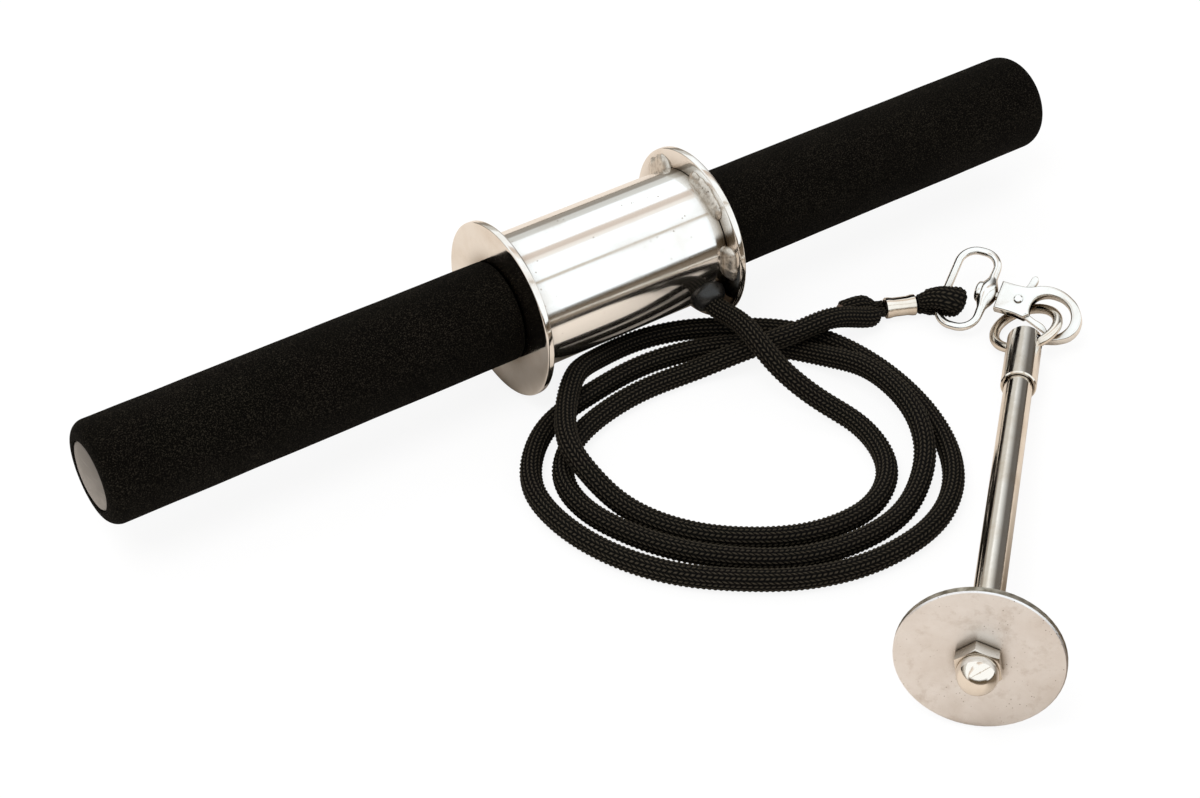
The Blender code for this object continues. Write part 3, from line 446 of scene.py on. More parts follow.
def weld_material():
    """Plated over weld metal: duller than the flange, lumpy, with dark pits and slag lines."""
    look = Shading("plated_weld")
    lumps = look.noise(420, detail=3, roughness=0.6)
    pits = look.range(look.cells(520), 0.20, 0.06)
    pit = look.math("MULTIPLY", pits, look.range(look.noise(260), 0.45, 0.6))
    tint = look.mix(look.range(lumps, 0.35, 0.65), (0.50, 0.45, 0.39), (0.76, 0.71, 0.64))
    look.set(Metallic=1.0, Base_Color=look.mix(pit, tint, (0.10, 0.06, 0.04)))
    look.set(Roughness=look.range(lumps, 0.3, 0.7, 0.30, 0.46))
    height = look.math("SUBTRACT", lumps, look.math("MULTIPLY", pit, 1.5))
    look.set(Normal=look.bump(height, 0.0003, 0.6))
    return look.material


def chrome_material(name, tint, dull, roughness):
    """Plating: bright, with dull smudges and a faintly uneven surface."""
    look = Shading(name)
    smudge = look.noise(70, detail=4, roughness=0.6)
    fine = look.noise(1600, detail=2)
    tint = look.mix(look.range(smudge, 0.45, 0.75), tint, dull)
    # Painted shade: the tint browns where other surfaces stand close.
    look.set(Metallic=1.0, Base_Color=look.painted_crevice_shade(tint))
    look.set(Roughness=look.range(smudge, 0.35, 0.75, roughness, roughness + 0.12))
    wavy = look.bump(look.noise(55, detail=2), PLATING_DENTS * 4, 0.35)
    look.set(Normal=look.bump(fine, PLATING_DENTS, 0.25, wavy))
    return look.material


def satin_material():
    """Satin plating of the disc: cloudy, with scattered dark specks, pits and a few fine scratches."""
    look = Shading("satin_plating")
    cloud = look.noise(55, detail=5, roughness=0.6)
    smoke = look.noise(160, detail=4, roughness=0.7)
    sparse = look.range(look.noise(95), 0.48, 0.62)
    speck = look.math("MULTIPLY", look.range(look.cells(620), 0.17, 0.05), sparse)
    scratch = look.noise(1, detail=1, where=look.scaled((1100, 40, 1100)))
    fine = look.noise(2400, detail=2)
    tint = look.mix(look.range(cloud, 0.32, 0.68), (0.74, 0.71, 0.69), (0.88, 0.87, 0.87))
    tint = look.mix(look.range(smoke, 0.52, 0.78, 0, 0.7), tint, (0.58, 0.53, 0.49))
    tint = look.mix(speck, tint, (0.16, 0.11, 0.08))
    # Painted shade: the rim, facing across the pin's axis, is tinted a darker streaked brown.
    facing = look.add("ShaderNodeVectorMath", operation="DOT_PRODUCT")
    look.join(look.add("ShaderNodeTexCoord").outputs["Normal"], facing.inputs[0])
    facing.inputs[1].default_value = PIN_AXIS
    rim = look.range(look.math("ABSOLUTE", facing.outputs["Value"]), 0.45, 0.30)
    lines = look.range(look.noise(340, detail=3), 0.35, 0.65)
    tint = look.mix(rim, tint, look.mix(lines, (0.22, 0.19, 0.14), (0.56, 0.51, 0.43)))
    # Painted shade: the tint browns round the nut, over a shorter reach.
    look.set(Metallic=1.0, Base_Color=look.painted_crevice_shade(tint, PAINTED_SHADE_REACH / 2))
    look.set(Roughness=look.range(cloud, 0.3, 0.7, 0.30, 0.42))
    height = look.math("SUBTRACT", look.math("ADD", fine, look.range(scratch, 0.66, 0.75)), speck)
    look.set(Normal=look.bump(height, 0.00008, 0.45))
    return look.material


def braid_material():
    """Black yarn: the crest value of each stitch lightens it as a painted highlight, leaving the grooves in
    painted shade, and fine filaments run along it.
    """
    look = Shading("black_braid")
    crest = look.add("ShaderNodeAttribute", attribute_name="crest").outputs["Fac"]
    fibres = look.noise(5200, detail=1)
    share = look.math("MULTIPLY", look.range(crest, 0.25, 1.0), look.range(fibres, 0.25, 0.75, 0.55, 1.0))
    look.set(Base_Color=look.mix(share, (0.0010, 0.0008, 0.0006), (0.066, 0.055, 0.039)), Roughness=0.75,
             Specular_IOR_Level=0.08)
    look.set(Normal=look.bump(fibres, 0.0002, 0.5))
    return look.material


def melted_material():
    """Rope's melted end: hard, shiny and dark brown."""
    look = Shading("melted_yarn")
    lumps = look.noise(700, detail=2)
    look.set(Base_Color=look.mix(lumps, (0.030, 0.020, 0.014), (0.17, 0.11, 0.08)),
             Roughness=look.range(lumps, 0.3, 0.7, 0.15, 0.4), Normal=look.bump(lumps, 0.0003, 0.6))
    return look.material


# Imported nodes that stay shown

def smoothing():
    """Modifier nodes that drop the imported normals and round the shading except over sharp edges."""
    group = bpy.data.node_groups.new("smooth_by_angle", "GeometryNodeTree")
    group.interface.new_socket("Geometry", in_out="INPUT", socket_type="NodeSocketGeometry")
    group.interface.new_socket("Geometry", in_out="OUTPUT", socket_type="NodeSocketGeometry")
    nodes = group.nodes
    drop = nodes.new("GeometryNodeRemoveAttribute")
    drop.inputs["Name"].default_value = "custom_normal"
    merge = nodes.new("GeometryNodeMergeByDistance")
    merge.inputs["Distance"].default_value = PACKED_JOIN
    faces = nodes.new("GeometryNodeSetShadeSmooth")
    faces.domain = "FACE"
    edges = nodes.new("GeometryNodeSetShadeSmooth")
    edges.domain = "EDGE"
    edges.inputs["Shade Smooth"].default_value = False
    angle = nodes.new("GeometryNodeInputMeshEdgeAngle")
    sharp = nodes.new("FunctionNodeCompare")
    sharp.operation = "GREATER_THAN"
    sharp.inputs["B"].default_value = math.radians(SHARP_ANGLE)
    group.links.new(angle.outputs["Unsigned Angle"], sharp.inputs["A"])
    group.links.new(sharp.outputs["Result"], edges.inputs["Selection"])
    chain = (nodes.new("NodeGroupInput"), drop, merge, faces, edges, nodes.new("NodeGroupOutput"))
    for before, after in zip(chain, chain[1:]):
        group.links.new(before.outputs["Geometry"], after.inputs["Geometry"])
    return group


def dress(look, *nodes):
    """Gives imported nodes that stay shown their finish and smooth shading."""
    for name in nodes:
        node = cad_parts[name]
        node.data.materials.clear()
        node.data.materials.append(look)
        node.modifiers.new("smooth", "NODES").node_group = SMOOTHING


# Shapes

def new_piece(name, mesh, look, slot, body, *nodes):
    """A shown object from a mesh, with its finish, the body it rides on and the CAD nodes it stands for."""
    made = bpy.data.objects.new(name, mesh)
    bpy.context.scene.collection.objects.link(made)
    mesh.materials.clear()
    mesh.materials.append(look)
    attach(made, body)
    if nodes:
        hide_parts(*nodes)
    return made


def grid_mesh(name, grid, closed=False, sharp=True):
    """Mesh over rings of points, whose last ring meets the first, or whose end rings are capped."""
    rows, count = grid.shape[:2]
    row = np.arange(rows if closed else rows - 1)[:, None]
    place = np.arange(count)[None, :]
    after_row = (row + 1) % rows
    after_place = (place + 1) % count
    quads = np.stack(np.broadcast_arrays(row * count + place, row * count + after_place,
                                         after_row * count + after_place, after_row * count + place), axis=-1)
    faces = quads.reshape(-1, 4).tolist()
    if not closed:
        faces += [list(range(count))[::-1], list(range((rows - 1) * count, rows * count))]
    mesh = bpy.data.meshes.new(name)
    mesh.from_pydata(grid.reshape(-1, 3), [], faces)
    mesh.shade_smooth()
    if sharp:
        mesh.set_sharp_from_angle(angle=math.radians(SHARP_ANGLE))
    return mesh


def unit_rows(vectors):
    return vectors / np.linalg.norm(vectors, axis=1)[:, None]


def rings_about(centre, across, up, axis, turns, rows):
    """Rings about an axis through a centre, from (radius, height) rows that may vary round the ring."""
    def ring(radius, height):
        flat = np.outer(radius * np.cos(turns), across) + np.outer(radius * np.sin(turns), up)
        return np.array(centre) + flat + np.outer(height, axis)

    return np.stack([ring(radius, height) for radius, height in rows])


def on_bar(x, radius, angle):
    """Points at places along the bar, radii from its axis and angles up from the front and over."""
    x, radius, angle = np.broadcast_arrays(x, radius, angle)
    return np.stack((BAR_AXIS.x + x, BAR_AXIS.y - radius * np.cos(angle),
                     BAR_AXIS.z + radius * np.sin(angle)), axis=-1)


def bar_grid(profile, count):
    """Rings of a profile of (radius, x) points turned about the bar's axis."""
    radius, x = np.array(profile).T[..., None]
    return on_bar(x, radius, np.linspace(0, 2 * math.pi, count, endpoint=False))


def arc(centre_r, centre_x, radius, start, end, count):
    """Points on an arc of a profile, by angle up from the outward direction."""
    angles = np.radians(np.linspace(start, end, count))
    return [(centre_r + radius * math.cos(a), centre_x + radius * math.sin(a)) for a in angles]


def grip_reach(sign):
    """Where a grip starts and ends, out from the bar's middle."""
    start = FLANGE_FACE + FLANGE_THICKNESS + GAP
    return start, start + GRIP_LENGTH + (LEFT_OVERHANG if sign < 0 else 0)


def make_grip(side, sign, look):
    """Foam sleeve with a rounded end, and a surface that strays a little as moulded foam does."""
    start, end = grip_reach(sign)
    profile = [(CAP_RECESS, end)]
    profile += arc(GRIP_RADIUS - GRIP_END_RADIUS, end - GRIP_END_RADIUS, GRIP_END_RADIUS, 90, 0, 14)
    profile += [(GRIP_RADIUS, x) for x in np.linspace(end - GRIP_END_RADIUS, start + GRIP_ROOT_RADIUS,
                                                      GRIP_RINGS)[1:-1]]
    profile += arc(GRIP_RADIUS - GRIP_ROOT_RADIUS, start + GRIP_ROOT_RADIUS, GRIP_ROOT_RADIUS, 0, -90, 6)
    profile += [(GRIP_BORE, start), (GRIP_BORE, end - RECESS_DEPTH), (CAP_RECESS, end - RECESS_DEPTH)]
    grid = bar_grid([(r, sign * x) for r, x in profile], GRIP_POINTS)
    centre = np.array((0, BAR_AXIS.y, BAR_AXIS.z))
    out = grid - centre
    out[..., 0] = 0
    reach = np.linalg.norm(out, axis=-1, keepdims=True)
    stray = np.array([[noise.noise(Vector(point) / FOAM_LUMP_SIZE) - 0.5 for point in row] for row in grid])
    outer = np.clip((reach[..., 0] - CAP_RECESS) / GRIP_END_RADIUS, 0, 1)
    grid = grid + out / reach * (FOAM_LUMP * stray * outer)[..., None]
    if sign < 0:
        grid = grid[:, ::-1]
    mesh = grid_mesh(f"foam_{side}", grid, closed=True)
    return new_piece(f"foam_{side}", mesh, look, "black_foam", "bar", f"grip_{side}")


def make_cap(side, sign, look):
    """Low-domed end cap that closes the foam's end."""
    end = grip_reach(sign)[1]
    radius = CAP_RECESS - GAP / 2
    shares = np.linspace(0, 0.95, 12)
    profile = [(CAP_CENTRE + radius * r, end + CAP_RISE - CAP_DOME * r * r) for r in shares]
    profile += arc(radius - CAP_CROWN, end + CAP_RISE - CAP_DOME - CAP_CROWN, CAP_CROWN, 60, 0, 4)
    profile += [(radius, end - RECESS_DEPTH + GAP), (CAP_CENTRE, end - RECESS_DEPTH + GAP)]
    grid = bar_grid([(r, sign * x) for r, x in profile], CAP_POINTS)
    mesh = grid_mesh(f"cap_{side}", grid if sign > 0 else grid[:, ::-1])
    new_piece(f"cap_{side}", mesh, look, "grey_plastic", "bar", f"end_cap_{side}")


def make_drum(look):
    """The drum's shell, without the hole that the rubber collar covers."""
    inside = DRUM_RADIUS - DRUM_WALL
    end = FLANGE_FACE - GAP
    profile = [(DRUM_RADIUS, x) for x in np.linspace(-end, end, 40)]
    profile += [(inside, x) for x in np.linspace(end, -end, 3)]
    mesh = grid_mesh("drum_shell", bar_grid(profile, DRUM_POINTS)[:, ::-1], closed=True)
    new_piece("drum_shell", mesh, look, "polished_steel", "bar", "drum_tube")


def make_collar(look):
    """Rubber collar that domes up round the rope where it leaves the drum."""
    turns = np.linspace(0, 2 * math.pi, COLLAR_POINTS, endpoint=False)
    top = DRUM_RADIUS + COLLAR_HEIGHT
    base = np.sqrt(DRUM_RADIUS ** 2 - (COLLAR_RADIUS * np.sin(turns)) ** 2) - COLLAR_SINK
    rows = [(COLLAR_BORE, base), (COLLAR_RADIUS, base)]
    for turn in np.radians(np.linspace(*COLLAR_ARC, 14)):
        share = math.sin(turn)
        rows.append((COLLAR_BORE + (COLLAR_RADIUS - COLLAR_BORE) * math.cos(turn),
                     base * (1 - share) + top * share))
    rows.append((COLLAR_BORE, top))
    centre = BAR_AXIS + Vector((ROPE_X, 0, 0))
    grid = rings_about(centre, (1, 0, 0), HOLE_UP, HOLE_OUT, turns, rows)
    mesh = grid_mesh("collar", grid, closed=True)
    new_piece("collar", mesh, look, "black_rubber", "bar", "rope_grommet")


def make_flange(side, sign, look, weld_look):
    """Plated flange with a rounded rim, and the puddles of its welds to the drum."""
    half = FLANGE_THICKNESS / 2
    rim = FLANGE_RADIUS - FLANGE_EDGE
    flat = FLANGE_RADIUS - 3 * FLANGE_EDGE
    profile = [(GRIP_BORE, half), (flat, half)]
    profile += arc(rim, half - FLANGE_EDGE, FLANGE_EDGE, 90, 0, 5)
    profile += arc(rim, FLANGE_EDGE - half, FLANGE_EDGE, 0, -90, 5)
    profile += [(flat, -half), (GRIP_BORE, -half)]
    middle = sign * (FLANGE_FACE + half)
    grid = bar_grid([(r, middle + x) for r, x in profile], DRUM_POINTS)
    mesh = grid_mesh(f"plate_{side}", grid, closed=True)
    new_piece(f"plate_{side}", mesh, look, "chrome", "bar", f"flange_{side}")
    for number, (start, end, width) in enumerate(WELDS_RIGHT if sign > 0 else WELDS_LEFT):
        mesh = weld_mesh(f"weld_{side}_{number}", start, end, width, sign)
        new_piece(f"weld_{side}_{number}", mesh, weld_look, "chrome", "bar")


def weld_mesh(name, start, end, width, sign):
    """Puddle weld in the corner of drum and flange: crescent ripples over a convex bead with blunt ends."""
    steps = max(12, round(math.radians(end - start) * DRUM_RADIUS / WELD_STEP))
    share = np.linspace(0, 1, steps)[:, None]
    angle = np.radians(start + (end - start) * share)
    turn = np.radians(np.linspace(*WELD_ARC, 18))[None, :]
    blunt = np.clip(1 - np.abs(2 * share - 1) ** 5, 0.02, 1) ** 0.5
    uneven = np.array([noise.noise(Vector((s * 7, start, sign))) for s in share[:, 0]])[:, None]
    crescent = angle * DRUM_RADIUS + WELD_RIPPLE * WELD_CRESCENT * np.sin(turn * 2)
    ripple = np.sin(crescent * 2 * math.pi / WELD_RIPPLE)
    size = blunt * (1 + WELD_UNEVEN * uneven) * (1 + WELD_RIPPLE_DEPTH * ripple)
    out = -WELD_SINK + (width + WELD_SINK) * size * np.cos(turn)
    off = -WELD_SINK + (WELD_HEIGHT + WELD_SINK) * size * np.sin(turn)
    bead = on_bar(sign * (FLANGE_FACE - off), DRUM_RADIUS + out, angle)
    root = on_bar(sign * (FLANGE_FACE + WELD_SINK), DRUM_RADIUS - WELD_SINK, angle)
    grid = np.concatenate((bead, root), axis=1)
    return grid_mesh(name, grid if sign < 0 else grid[:, ::-1])


# Rope

def lengths_along(points):
    return np.concatenate(([0], np.cumsum(np.linalg.norm(np.diff(points, axis=0), axis=1))))


def smooth_path(points, spacing):
    """Points at an even spacing on a natural cubic spline through given points."""
    given = np.array([tuple(point) for point in points], dtype=float)
    knots = lengths_along(given)
    steps = np.diff(knots)[:, None]
    slopes = np.diff(given, axis=0) / steps
    count = len(knots)
    system = np.eye(count)
    target = np.zeros_like(given)
    for i in range(1, count - 1):
        system[i, i - 1:i + 2] = (steps[i - 1, 0], 2 * (steps[i - 1, 0] + steps[i, 0]), steps[i, 0])
        target[i] = 3 * (slopes[i] - slopes[i - 1])
    bend = np.linalg.solve(system, target)
    places = np.linspace(0, knots[-1], round(knots[-1] / spacing) + 1)
    index = np.clip(np.searchsorted(knots, places, side="right") - 1, 0, count - 2)
    along = (places - knots[index])[:, None]
    first = slopes[index] - steps[index] * (2 * bend[index] + bend[index + 1]) / 3
    cubic = (bend[index + 1] - bend[index]) / (3 * steps[index])
    return given[index] + along * (first + along * (bend[index] + along * cubic))


def carried_frames(points):
    """Two unit vectors across the path at each point, carried along it without twist."""
    tangents = unit_rows(np.gradient(points, axis=0))
    side = np.cross(tangents[0], (0.0, 0.0, 1.0))
    if np.linalg.norm(side) < 0.1:
        side = np.cross(tangents[0], (1.0, 0.0, 0.0))
    sides = np.empty_like(points)
    for i, tangent in enumerate(tangents):
        side = side - tangent * side.dot(tangent)
        side = side / np.linalg.norm(side)
        sides[i] = side
    return sides, np.cross(tangents, sides)


def braided(name, node, points, radius_at, look, width_at=np.ones_like, frames=None):
    """Braided tube along a path, from its radius and its flattening at lengths along."""
    along = lengths_along(points)
    side, up = frames or carried_frames(points)
    rings = round(along[-1] / STITCH_LENGTH * RINGS_PER_STITCH) + 1
    count = 2 * BRAID_COLUMNS
    ring = np.arange(rings)[:, None]
    place = np.arange(count)[None, :]
    column = place // 2
    groove = place % 2 == 0
    lean = np.where(column % 2 == 0, 1, -1)
    zigzag = np.where(groove, -lean, 0) * (STITCH_SLANT / 2)
    from_end = np.minimum(ring, rings - 1 - ring)
    where = ring * (along[-1] / (rings - 1)) + zigzag * np.minimum(from_end / 2, 1)
    tucked = (ring + column % 2) % RINGS_PER_STITCH == 0
    crest = np.where(groove, 0.0, np.where(tucked, 0.0, 1.0)) + np.zeros_like(where)
    angle = place * (2 * math.pi / count)
    radius = radius_at(where) - STITCH_DEPTH * (1 - crest) * (radius_at(where) / (ROPE_DIAMETER / 2))

    def at(values):
        return np.stack([np.interp(where, along, values[:, i]) for i in range(3)], axis=-1)

    spread = at(side) * (np.cos(angle) * width_at(where))[..., None] + at(up) * np.sin(angle)[..., None]
    mesh = grid_mesh(name, at(points) + spread * radius[..., None], sharp=False)
    # Crest value: 1 on stitch crests and 0 in grooves; it sinks the grooves, and the braid's finish paints
    # the crests lit and the grooves shaded.
    value = mesh.attributes.new("crest", "FLOAT", "POINT")
    value.data.foreach_set("value", crest.astype(np.float32).ravel())
    return new_piece(name, mesh, look, "black_braid", "bar", node)


def taper(total, radius, start_radius, end_radius, reach):
    """The rope's radius by length along, drawn in over a reach before its crushed ends."""
    def radius_at(along):
        near = np.clip((along - CRUSHED_LEAD) / reach, 0, 1)
        far = np.clip((total - along - CRUSHED_LEAD) / reach, 0, 1)
        ease_near = near * near * (3 - 2 * near)
        ease_far = far * far * (3 - 2 * far)
        return radius - (radius - start_radius) * (1 - ease_near) - (radius - end_radius) * (1 - ease_far)
    return radius_at


def in_row_frame(points):
    return np.array([tuple(GROUND + Vector(point)) for point in points])


def make_rope(look):
    """Rope from inside the drum round its coil to the ferrule, and its tail and eye beyond."""
    hole = Vector((ROPE_X, 0, BAR_AXIS.z))
    ferrule = (FERRULE_END - FERRULE_START).normalized()
    side = Vector((-ferrule.y, ferrule.x, 0)).normalized() * (CRUSHED_SPACING / 2)
    mouth = FERRULE_START - ferrule * GAP
    lead = ferrule * CRUSHED_LEAD
    radius = ROPE_DIAMETER / 2
    crushed = CRUSHED_DIAMETER / 2

    inside = [hole + HOLE_OUT * reach for reach in (ROPE_INNER_END, (ROPE_INNER_END + DRUM_RADIUS) / 2,
                                                    DRUM_RADIUS, ROPE_EXIT + GAP)]
    knots = inside + [Vector(point) for point in ROPE_ROUTE] + [mouth - side - lead]
    path = in_row_frame(np.vstack((smooth_path(knots, ROPE_DIAMETER / 6), mouth - side)))
    total = lengths_along(path)[-1]
    rope = braided("braided_rope", "rope", path, taper(total, radius, radius, crushed, CRUSH_REACH), look)

    knots = [mouth + side - lead] + [Vector(point) for point in TAIL_ROUTE]
    tail_path = in_row_frame(np.vstack((mouth + side, smooth_path(knots, ROPE_DIAMETER / 9))))
    tail_total = lengths_along(tail_path)[-1]
    narrowing = taper(tail_total, radius, crushed, TAIL_END_DIAMETER / 2, CRUSH_REACH)
    tail = braided("braided_tail", "rope_tail", tail_path, domed(tail_total, narrowing), look)
    make_tip(tail_path[-1], tail_path[-1] - tail_path[-3])

    make_eye(look)


def make_tip(end, heading):
    """Shiny bead where the rope's cut end was melted."""
    shape = bmesh.new()
    bmesh.ops.create_icosphere(shape, subdivisions=3, radius=TIP_BEAD)
    mesh = bpy.data.meshes.new("melted_tip")
    shape.to_mesh(mesh)
    shape.free()
    mesh.shade_smooth()
    centre = Vector(end) - Vector(heading).normalized() * TIP_SINK
    for point in mesh.vertices:
        lump = 1 + TIP_LUMP * noise.noise(point.co / TIP_BEAD * TIP_LUMPS_ACROSS)
        point.co = centre + point.co * lump
    new_piece("melted_tip", mesh, melted_material(), "black_braid", "bar")


def domed(total, radius_at):
    """The same radius, rounded off at the path's far end as a melted tip."""
    def rounded(along):
        past = np.clip(1 - (total - along) / TIP_REACH, 0, 0.97)
        return radius_at(along) * np.sqrt(1 - past ** 2)
    return rounded


def make_eye(look):
    """The rope's eye: out of the ferrule, squeezed round the bow's far arm and back in."""
    bow = BOW_PLANE @ Matrix.Translation((-BOW_FAR, BOW_EYE_OFFSET, 0))
    arm = bow.translation - GROUND
    across = bow.to_3x3() @ Vector((0, 1, 0))
    tip = arm - FERRULE_END
    tip = (tip - across * tip.dot(across)).normalized()
    up = across.cross(tip).normalized()
    if up.z < 0:
        up = -up
    ferrule = (FERRULE_END - FERRULE_START).normalized()
    mouth = FERRULE_END + ferrule * GAP
    step = (up - ferrule * up.dot(ferrule)).normalized()
    reach = BOW_WIRE / 2 + GAP + EYE_THICKNESS / 2
    turns = np.radians(np.linspace(EYE_WRAP, -EYE_WRAP, 13))
    loop = [arm + tip * (EYE_SLACK + math.cos(a) * reach) + up * (math.sin(a) * reach)
            - across * (EYE_SHEAR * max(0, math.sin(a))) for a in turns]
    lead = ferrule * (CRUSHED_LEAD / 2)
    near = step * (CRUSHED_SPACING / 2)
    knots = [mouth + near + lead] + loop + [mouth - near + lead]
    path = in_row_frame(np.vstack((mouth + near, smooth_path(knots, EYE_THICKNESS / 5), mouth - near)))
    total = lengths_along(path)[-1]
    crushed = CRUSHED_DIAMETER / 2

    def width_at(along):
        from_end = np.clip(np.minimum(along, total - along) / EYE_CRUSH_REACH, 0, 1)
        spread = np.clip(np.minimum(along, total - along) / (total / 2 - EYE_THICKNESS * 2), 0, 1)
        wide = EYE_START_WIDTH + (EYE_WIDTH - EYE_START_WIDTH) * spread
        return 1 + (wide / EYE_THICKNESS - 1) * from_end * (2 - from_end)

    level = ferrule.cross(Vector((0, 0, 1)))
    if level.dot(across) < 0:
        level = -level
    lengths = lengths_along(path)
    share = np.clip(np.minimum(lengths, total - lengths) / (total * EYE_TURN_SHARE), 0, 1)[:, None]
    wanted = np.array(level) * (1 - share) + np.array(across) * share
    tangents = unit_rows(np.gradient(path, axis=0))
    side = unit_rows(wanted - tangents * np.sum(wanted * tangents, axis=1)[:, None])
    radius_at = taper(total, EYE_THICKNESS / 2, crushed, crushed, EYE_CRUSH_REACH)
    frames = (side, np.cross(tangents, side))
    return braided("braided_eye", "rope_eye", path, radius_at, look, width_at, frames)


# Swivel and snap hook

def make_bow(look):
    """Bow of round wire whose near arm swells into a boss round the swivel's post."""
    corners = ((-BOW_NEAR - BOW_CORNER, BOW_HALF_WIDTH - BOW_CORNER, 0),
               (-BOW_FAR + BOW_CORNER, BOW_HALF_WIDTH - BOW_CORNER, 90),
               (-BOW_FAR + BOW_CORNER, BOW_CORNER - BOW_HALF_WIDTH, 180),
               (-BOW_NEAR - BOW_CORNER, BOW_CORNER - BOW_HALF_WIDTH, 270))
    centre = []
    for x, y, start in corners:
        centre += arc(x, y, BOW_CORNER, start, start + 90, 12)
    half = BOW_HALF_WIDTH - BOW_CORNER
    centre += [(-BOW_NEAR, y) for y in np.linspace(-half, half, 40)[1:-1]]
    points = np.array(centre)
    before = np.roll(points, 1, axis=0)
    after = np.roll(points, -1, axis=0)
    heading = unit_rows(after - before)
    outward = np.stack((heading[:, 1], -heading[:, 0]), axis=1)
    near_arm = np.clip((points[:, 0] + BOW_NEAR + BOW_CORNER) / BOW_CORNER, 0, 1)
    away = np.clip(np.abs(points[:, 1]) / BOSS_REACH, 0, 1)
    swell = (1 - away ** 2) ** 1.5 * (near_arm > 0.9)
    flare = np.clip(1 - np.abs(points[:, 1]) / half, 0, 1) * (near_arm > 0.9)
    radius = BOW_WIRE / 2 * (1 + BOW_FLARE * flare) + (BOSS_RADIUS - BOW_WIRE / 2 * (1 + BOW_FLARE)) * swell
    angles = np.linspace(0, 2 * math.pi, 24, endpoint=False)
    flat = points[:, None, :] + outward[:, None, :] * (radius[:, None] * np.cos(angles))[..., None]
    flat[..., 0] = np.minimum(flat[..., 0], -GAP)
    height = radius[:, None] * np.sin(angles)
    grid = np.concatenate((flat, height[..., None]), axis=-1)
    mesh = grid_mesh("bow", grid[:, ::-1], closed=True)
    mesh.transform(BOW_PLANE)
    new_piece("bow", mesh, look, "bright_nickel", "bar", "swivel_bow")


def plate_mesh(name, outline, thickness, edge):
    """Round-edged plate in XY, centred on its plane, from (x, y, corner) points in hook units."""
    curve = bpy.data.curves.new(name, "CURVE")
    curve.dimensions = "2D"
    curve.fill_mode = "BOTH"
    curve.resolution_u = 8
    curve.extrude = thickness / 2 - edge
    curve.bevel_depth = edge
    curve.bevel_resolution = 3
    curve.offset = -edge
    spline = curve.splines.new("BEZIER")
    spline.bezier_points.add(len(outline) - 1)
    for knot, (x, y, corner) in zip(spline.bezier_points, outline):
        knot.co = (x * HOOK_UNIT, y * HOOK_UNIT, 0)
        knot.handle_left_type = "VECTOR" if corner else "AUTO"
        knot.handle_right_type = "VECTOR" if corner else "AUTO"
    spline.use_cyclic_u = True
    holder = bpy.data.objects.new(name, curve)
    bpy.context.scene.collection.objects.link(holder)
    return baked(holder)


def baked(holder, *tools):
    """The evaluated mesh of an object, with its points joined; it and its tools are then removed."""
    bpy.context.view_layer.update()
    graph = bpy.context.evaluated_depsgraph_get()
    mesh = bpy.data.meshes.new_from_object(holder.evaluated_get(graph))
    for item in (holder, *tools):
        bpy.data.objects.remove(item, do_unlink=True)
    shape = bmesh.new()
    shape.from_mesh(mesh)
    bmesh.ops.remove_doubles(shape, verts=shape.verts, dist=BAKED_JOIN)
    bmesh.ops.recalc_face_normals(shape, faces=shape.faces)
    shape.to_mesh(mesh)
    shape.free()
    mesh.shade_smooth()
    mesh.set_sharp_from_angle(angle=math.radians(SHARP_ANGLE))
    return mesh


def make_hook(look):
    """Cast snap body, slotted for the trigger, and the trigger with its flat thumb fin."""
    plate = plate_mesh("hook_plate", HOOK_OUTLINE, HOOK_THICKNESS, HOOK_EDGE)
    body = bpy.data.objects.new("hook_plate", plate)
    slot = bpy.data.objects.new("slot", bpy.data.meshes.new("slot"))
    shape = bmesh.new()
    start, end = (reach * HOOK_UNIT for reach in SLOT_REACH)
    size = Matrix.Diagonal((end - start, HOOK_LENGTH, SLOT_WIDTH, 1))
    bmesh.ops.create_cube(shape, size=1, matrix=Matrix.Translation(((start + end) / 2, 0, 0)) @ size)
    shape.to_mesh(slot.data)
    shape.free()
    for item in (body, slot):
        bpy.context.scene.collection.objects.link(item)
    cut = body.modifiers.new("slot", "BOOLEAN")
    cut.object = slot
    cut.operation = "DIFFERENCE"
    cut.solver = "EXACT"
    mesh = baked(body, slot)
    mesh.transform(HOOK)
    new_piece("snap_hook", mesh, look, "bright_nickel", "hook", "hook_body")

    fin = plate_mesh("trigger_plate", TRIGGER_OUTLINE, SLOT_WIDTH - 2 * GAP, TRIGGER_EDGE)
    rivet = Matrix.Translation(Vector((*RIVET_PLACE, 0)) * HOOK_UNIT)
    fin.transform(HOOK @ rivet)
    new_piece("snap_trigger", fin, look, "bright_nickel", "trigger", "trigger")


# Acorn nut

def make_nut(look):
    """Chamfered hexagon under a round dome, with its corners turned as photographed."""
    half_side = math.radians(30)
    angles = np.linspace(0, 2 * math.pi, NUT_POINTS, endpoint=False)
    flat = NUT_CORNER_RADIUS * math.cos(half_side)
    from_corner = (angles + half_side) % (2 * half_side) - half_side
    hexagon = flat / np.cos(half_side - np.abs(from_corner))
    chamfer = flat * NUT_CHAMFER
    slope = math.tan(half_side)
    rows = [(hexagon, 0), (hexagon, NUT_HEIGHT - (hexagon - chamfer) * slope), (chamfer, NUT_HEIGHT)]
    low = math.asin((NUT_HEIGHT - NUT_DOME_RISE) / NUT_DOME_RADIUS)
    for turn in np.linspace(low, math.radians(89), 24):
        rows.append((NUT_DOME_RADIUS * math.cos(turn), NUT_DOME_RISE + NUT_DOME_RADIUS * math.sin(turn)))
    axis = Vector(PIN_AXIS).normalized()
    level = axis.cross(Vector((0, 0, 1))).normalized()
    turns = angles + math.radians(NUT_TURN)
    grid = rings_about(GROUND + NUT_SEAT, level, level.cross(axis), -axis, turns, rows)
    new_piece("dome_nut", grid_mesh("dome_nut", grid), look, "chrome", "pin", "acorn_nut")


# Stage

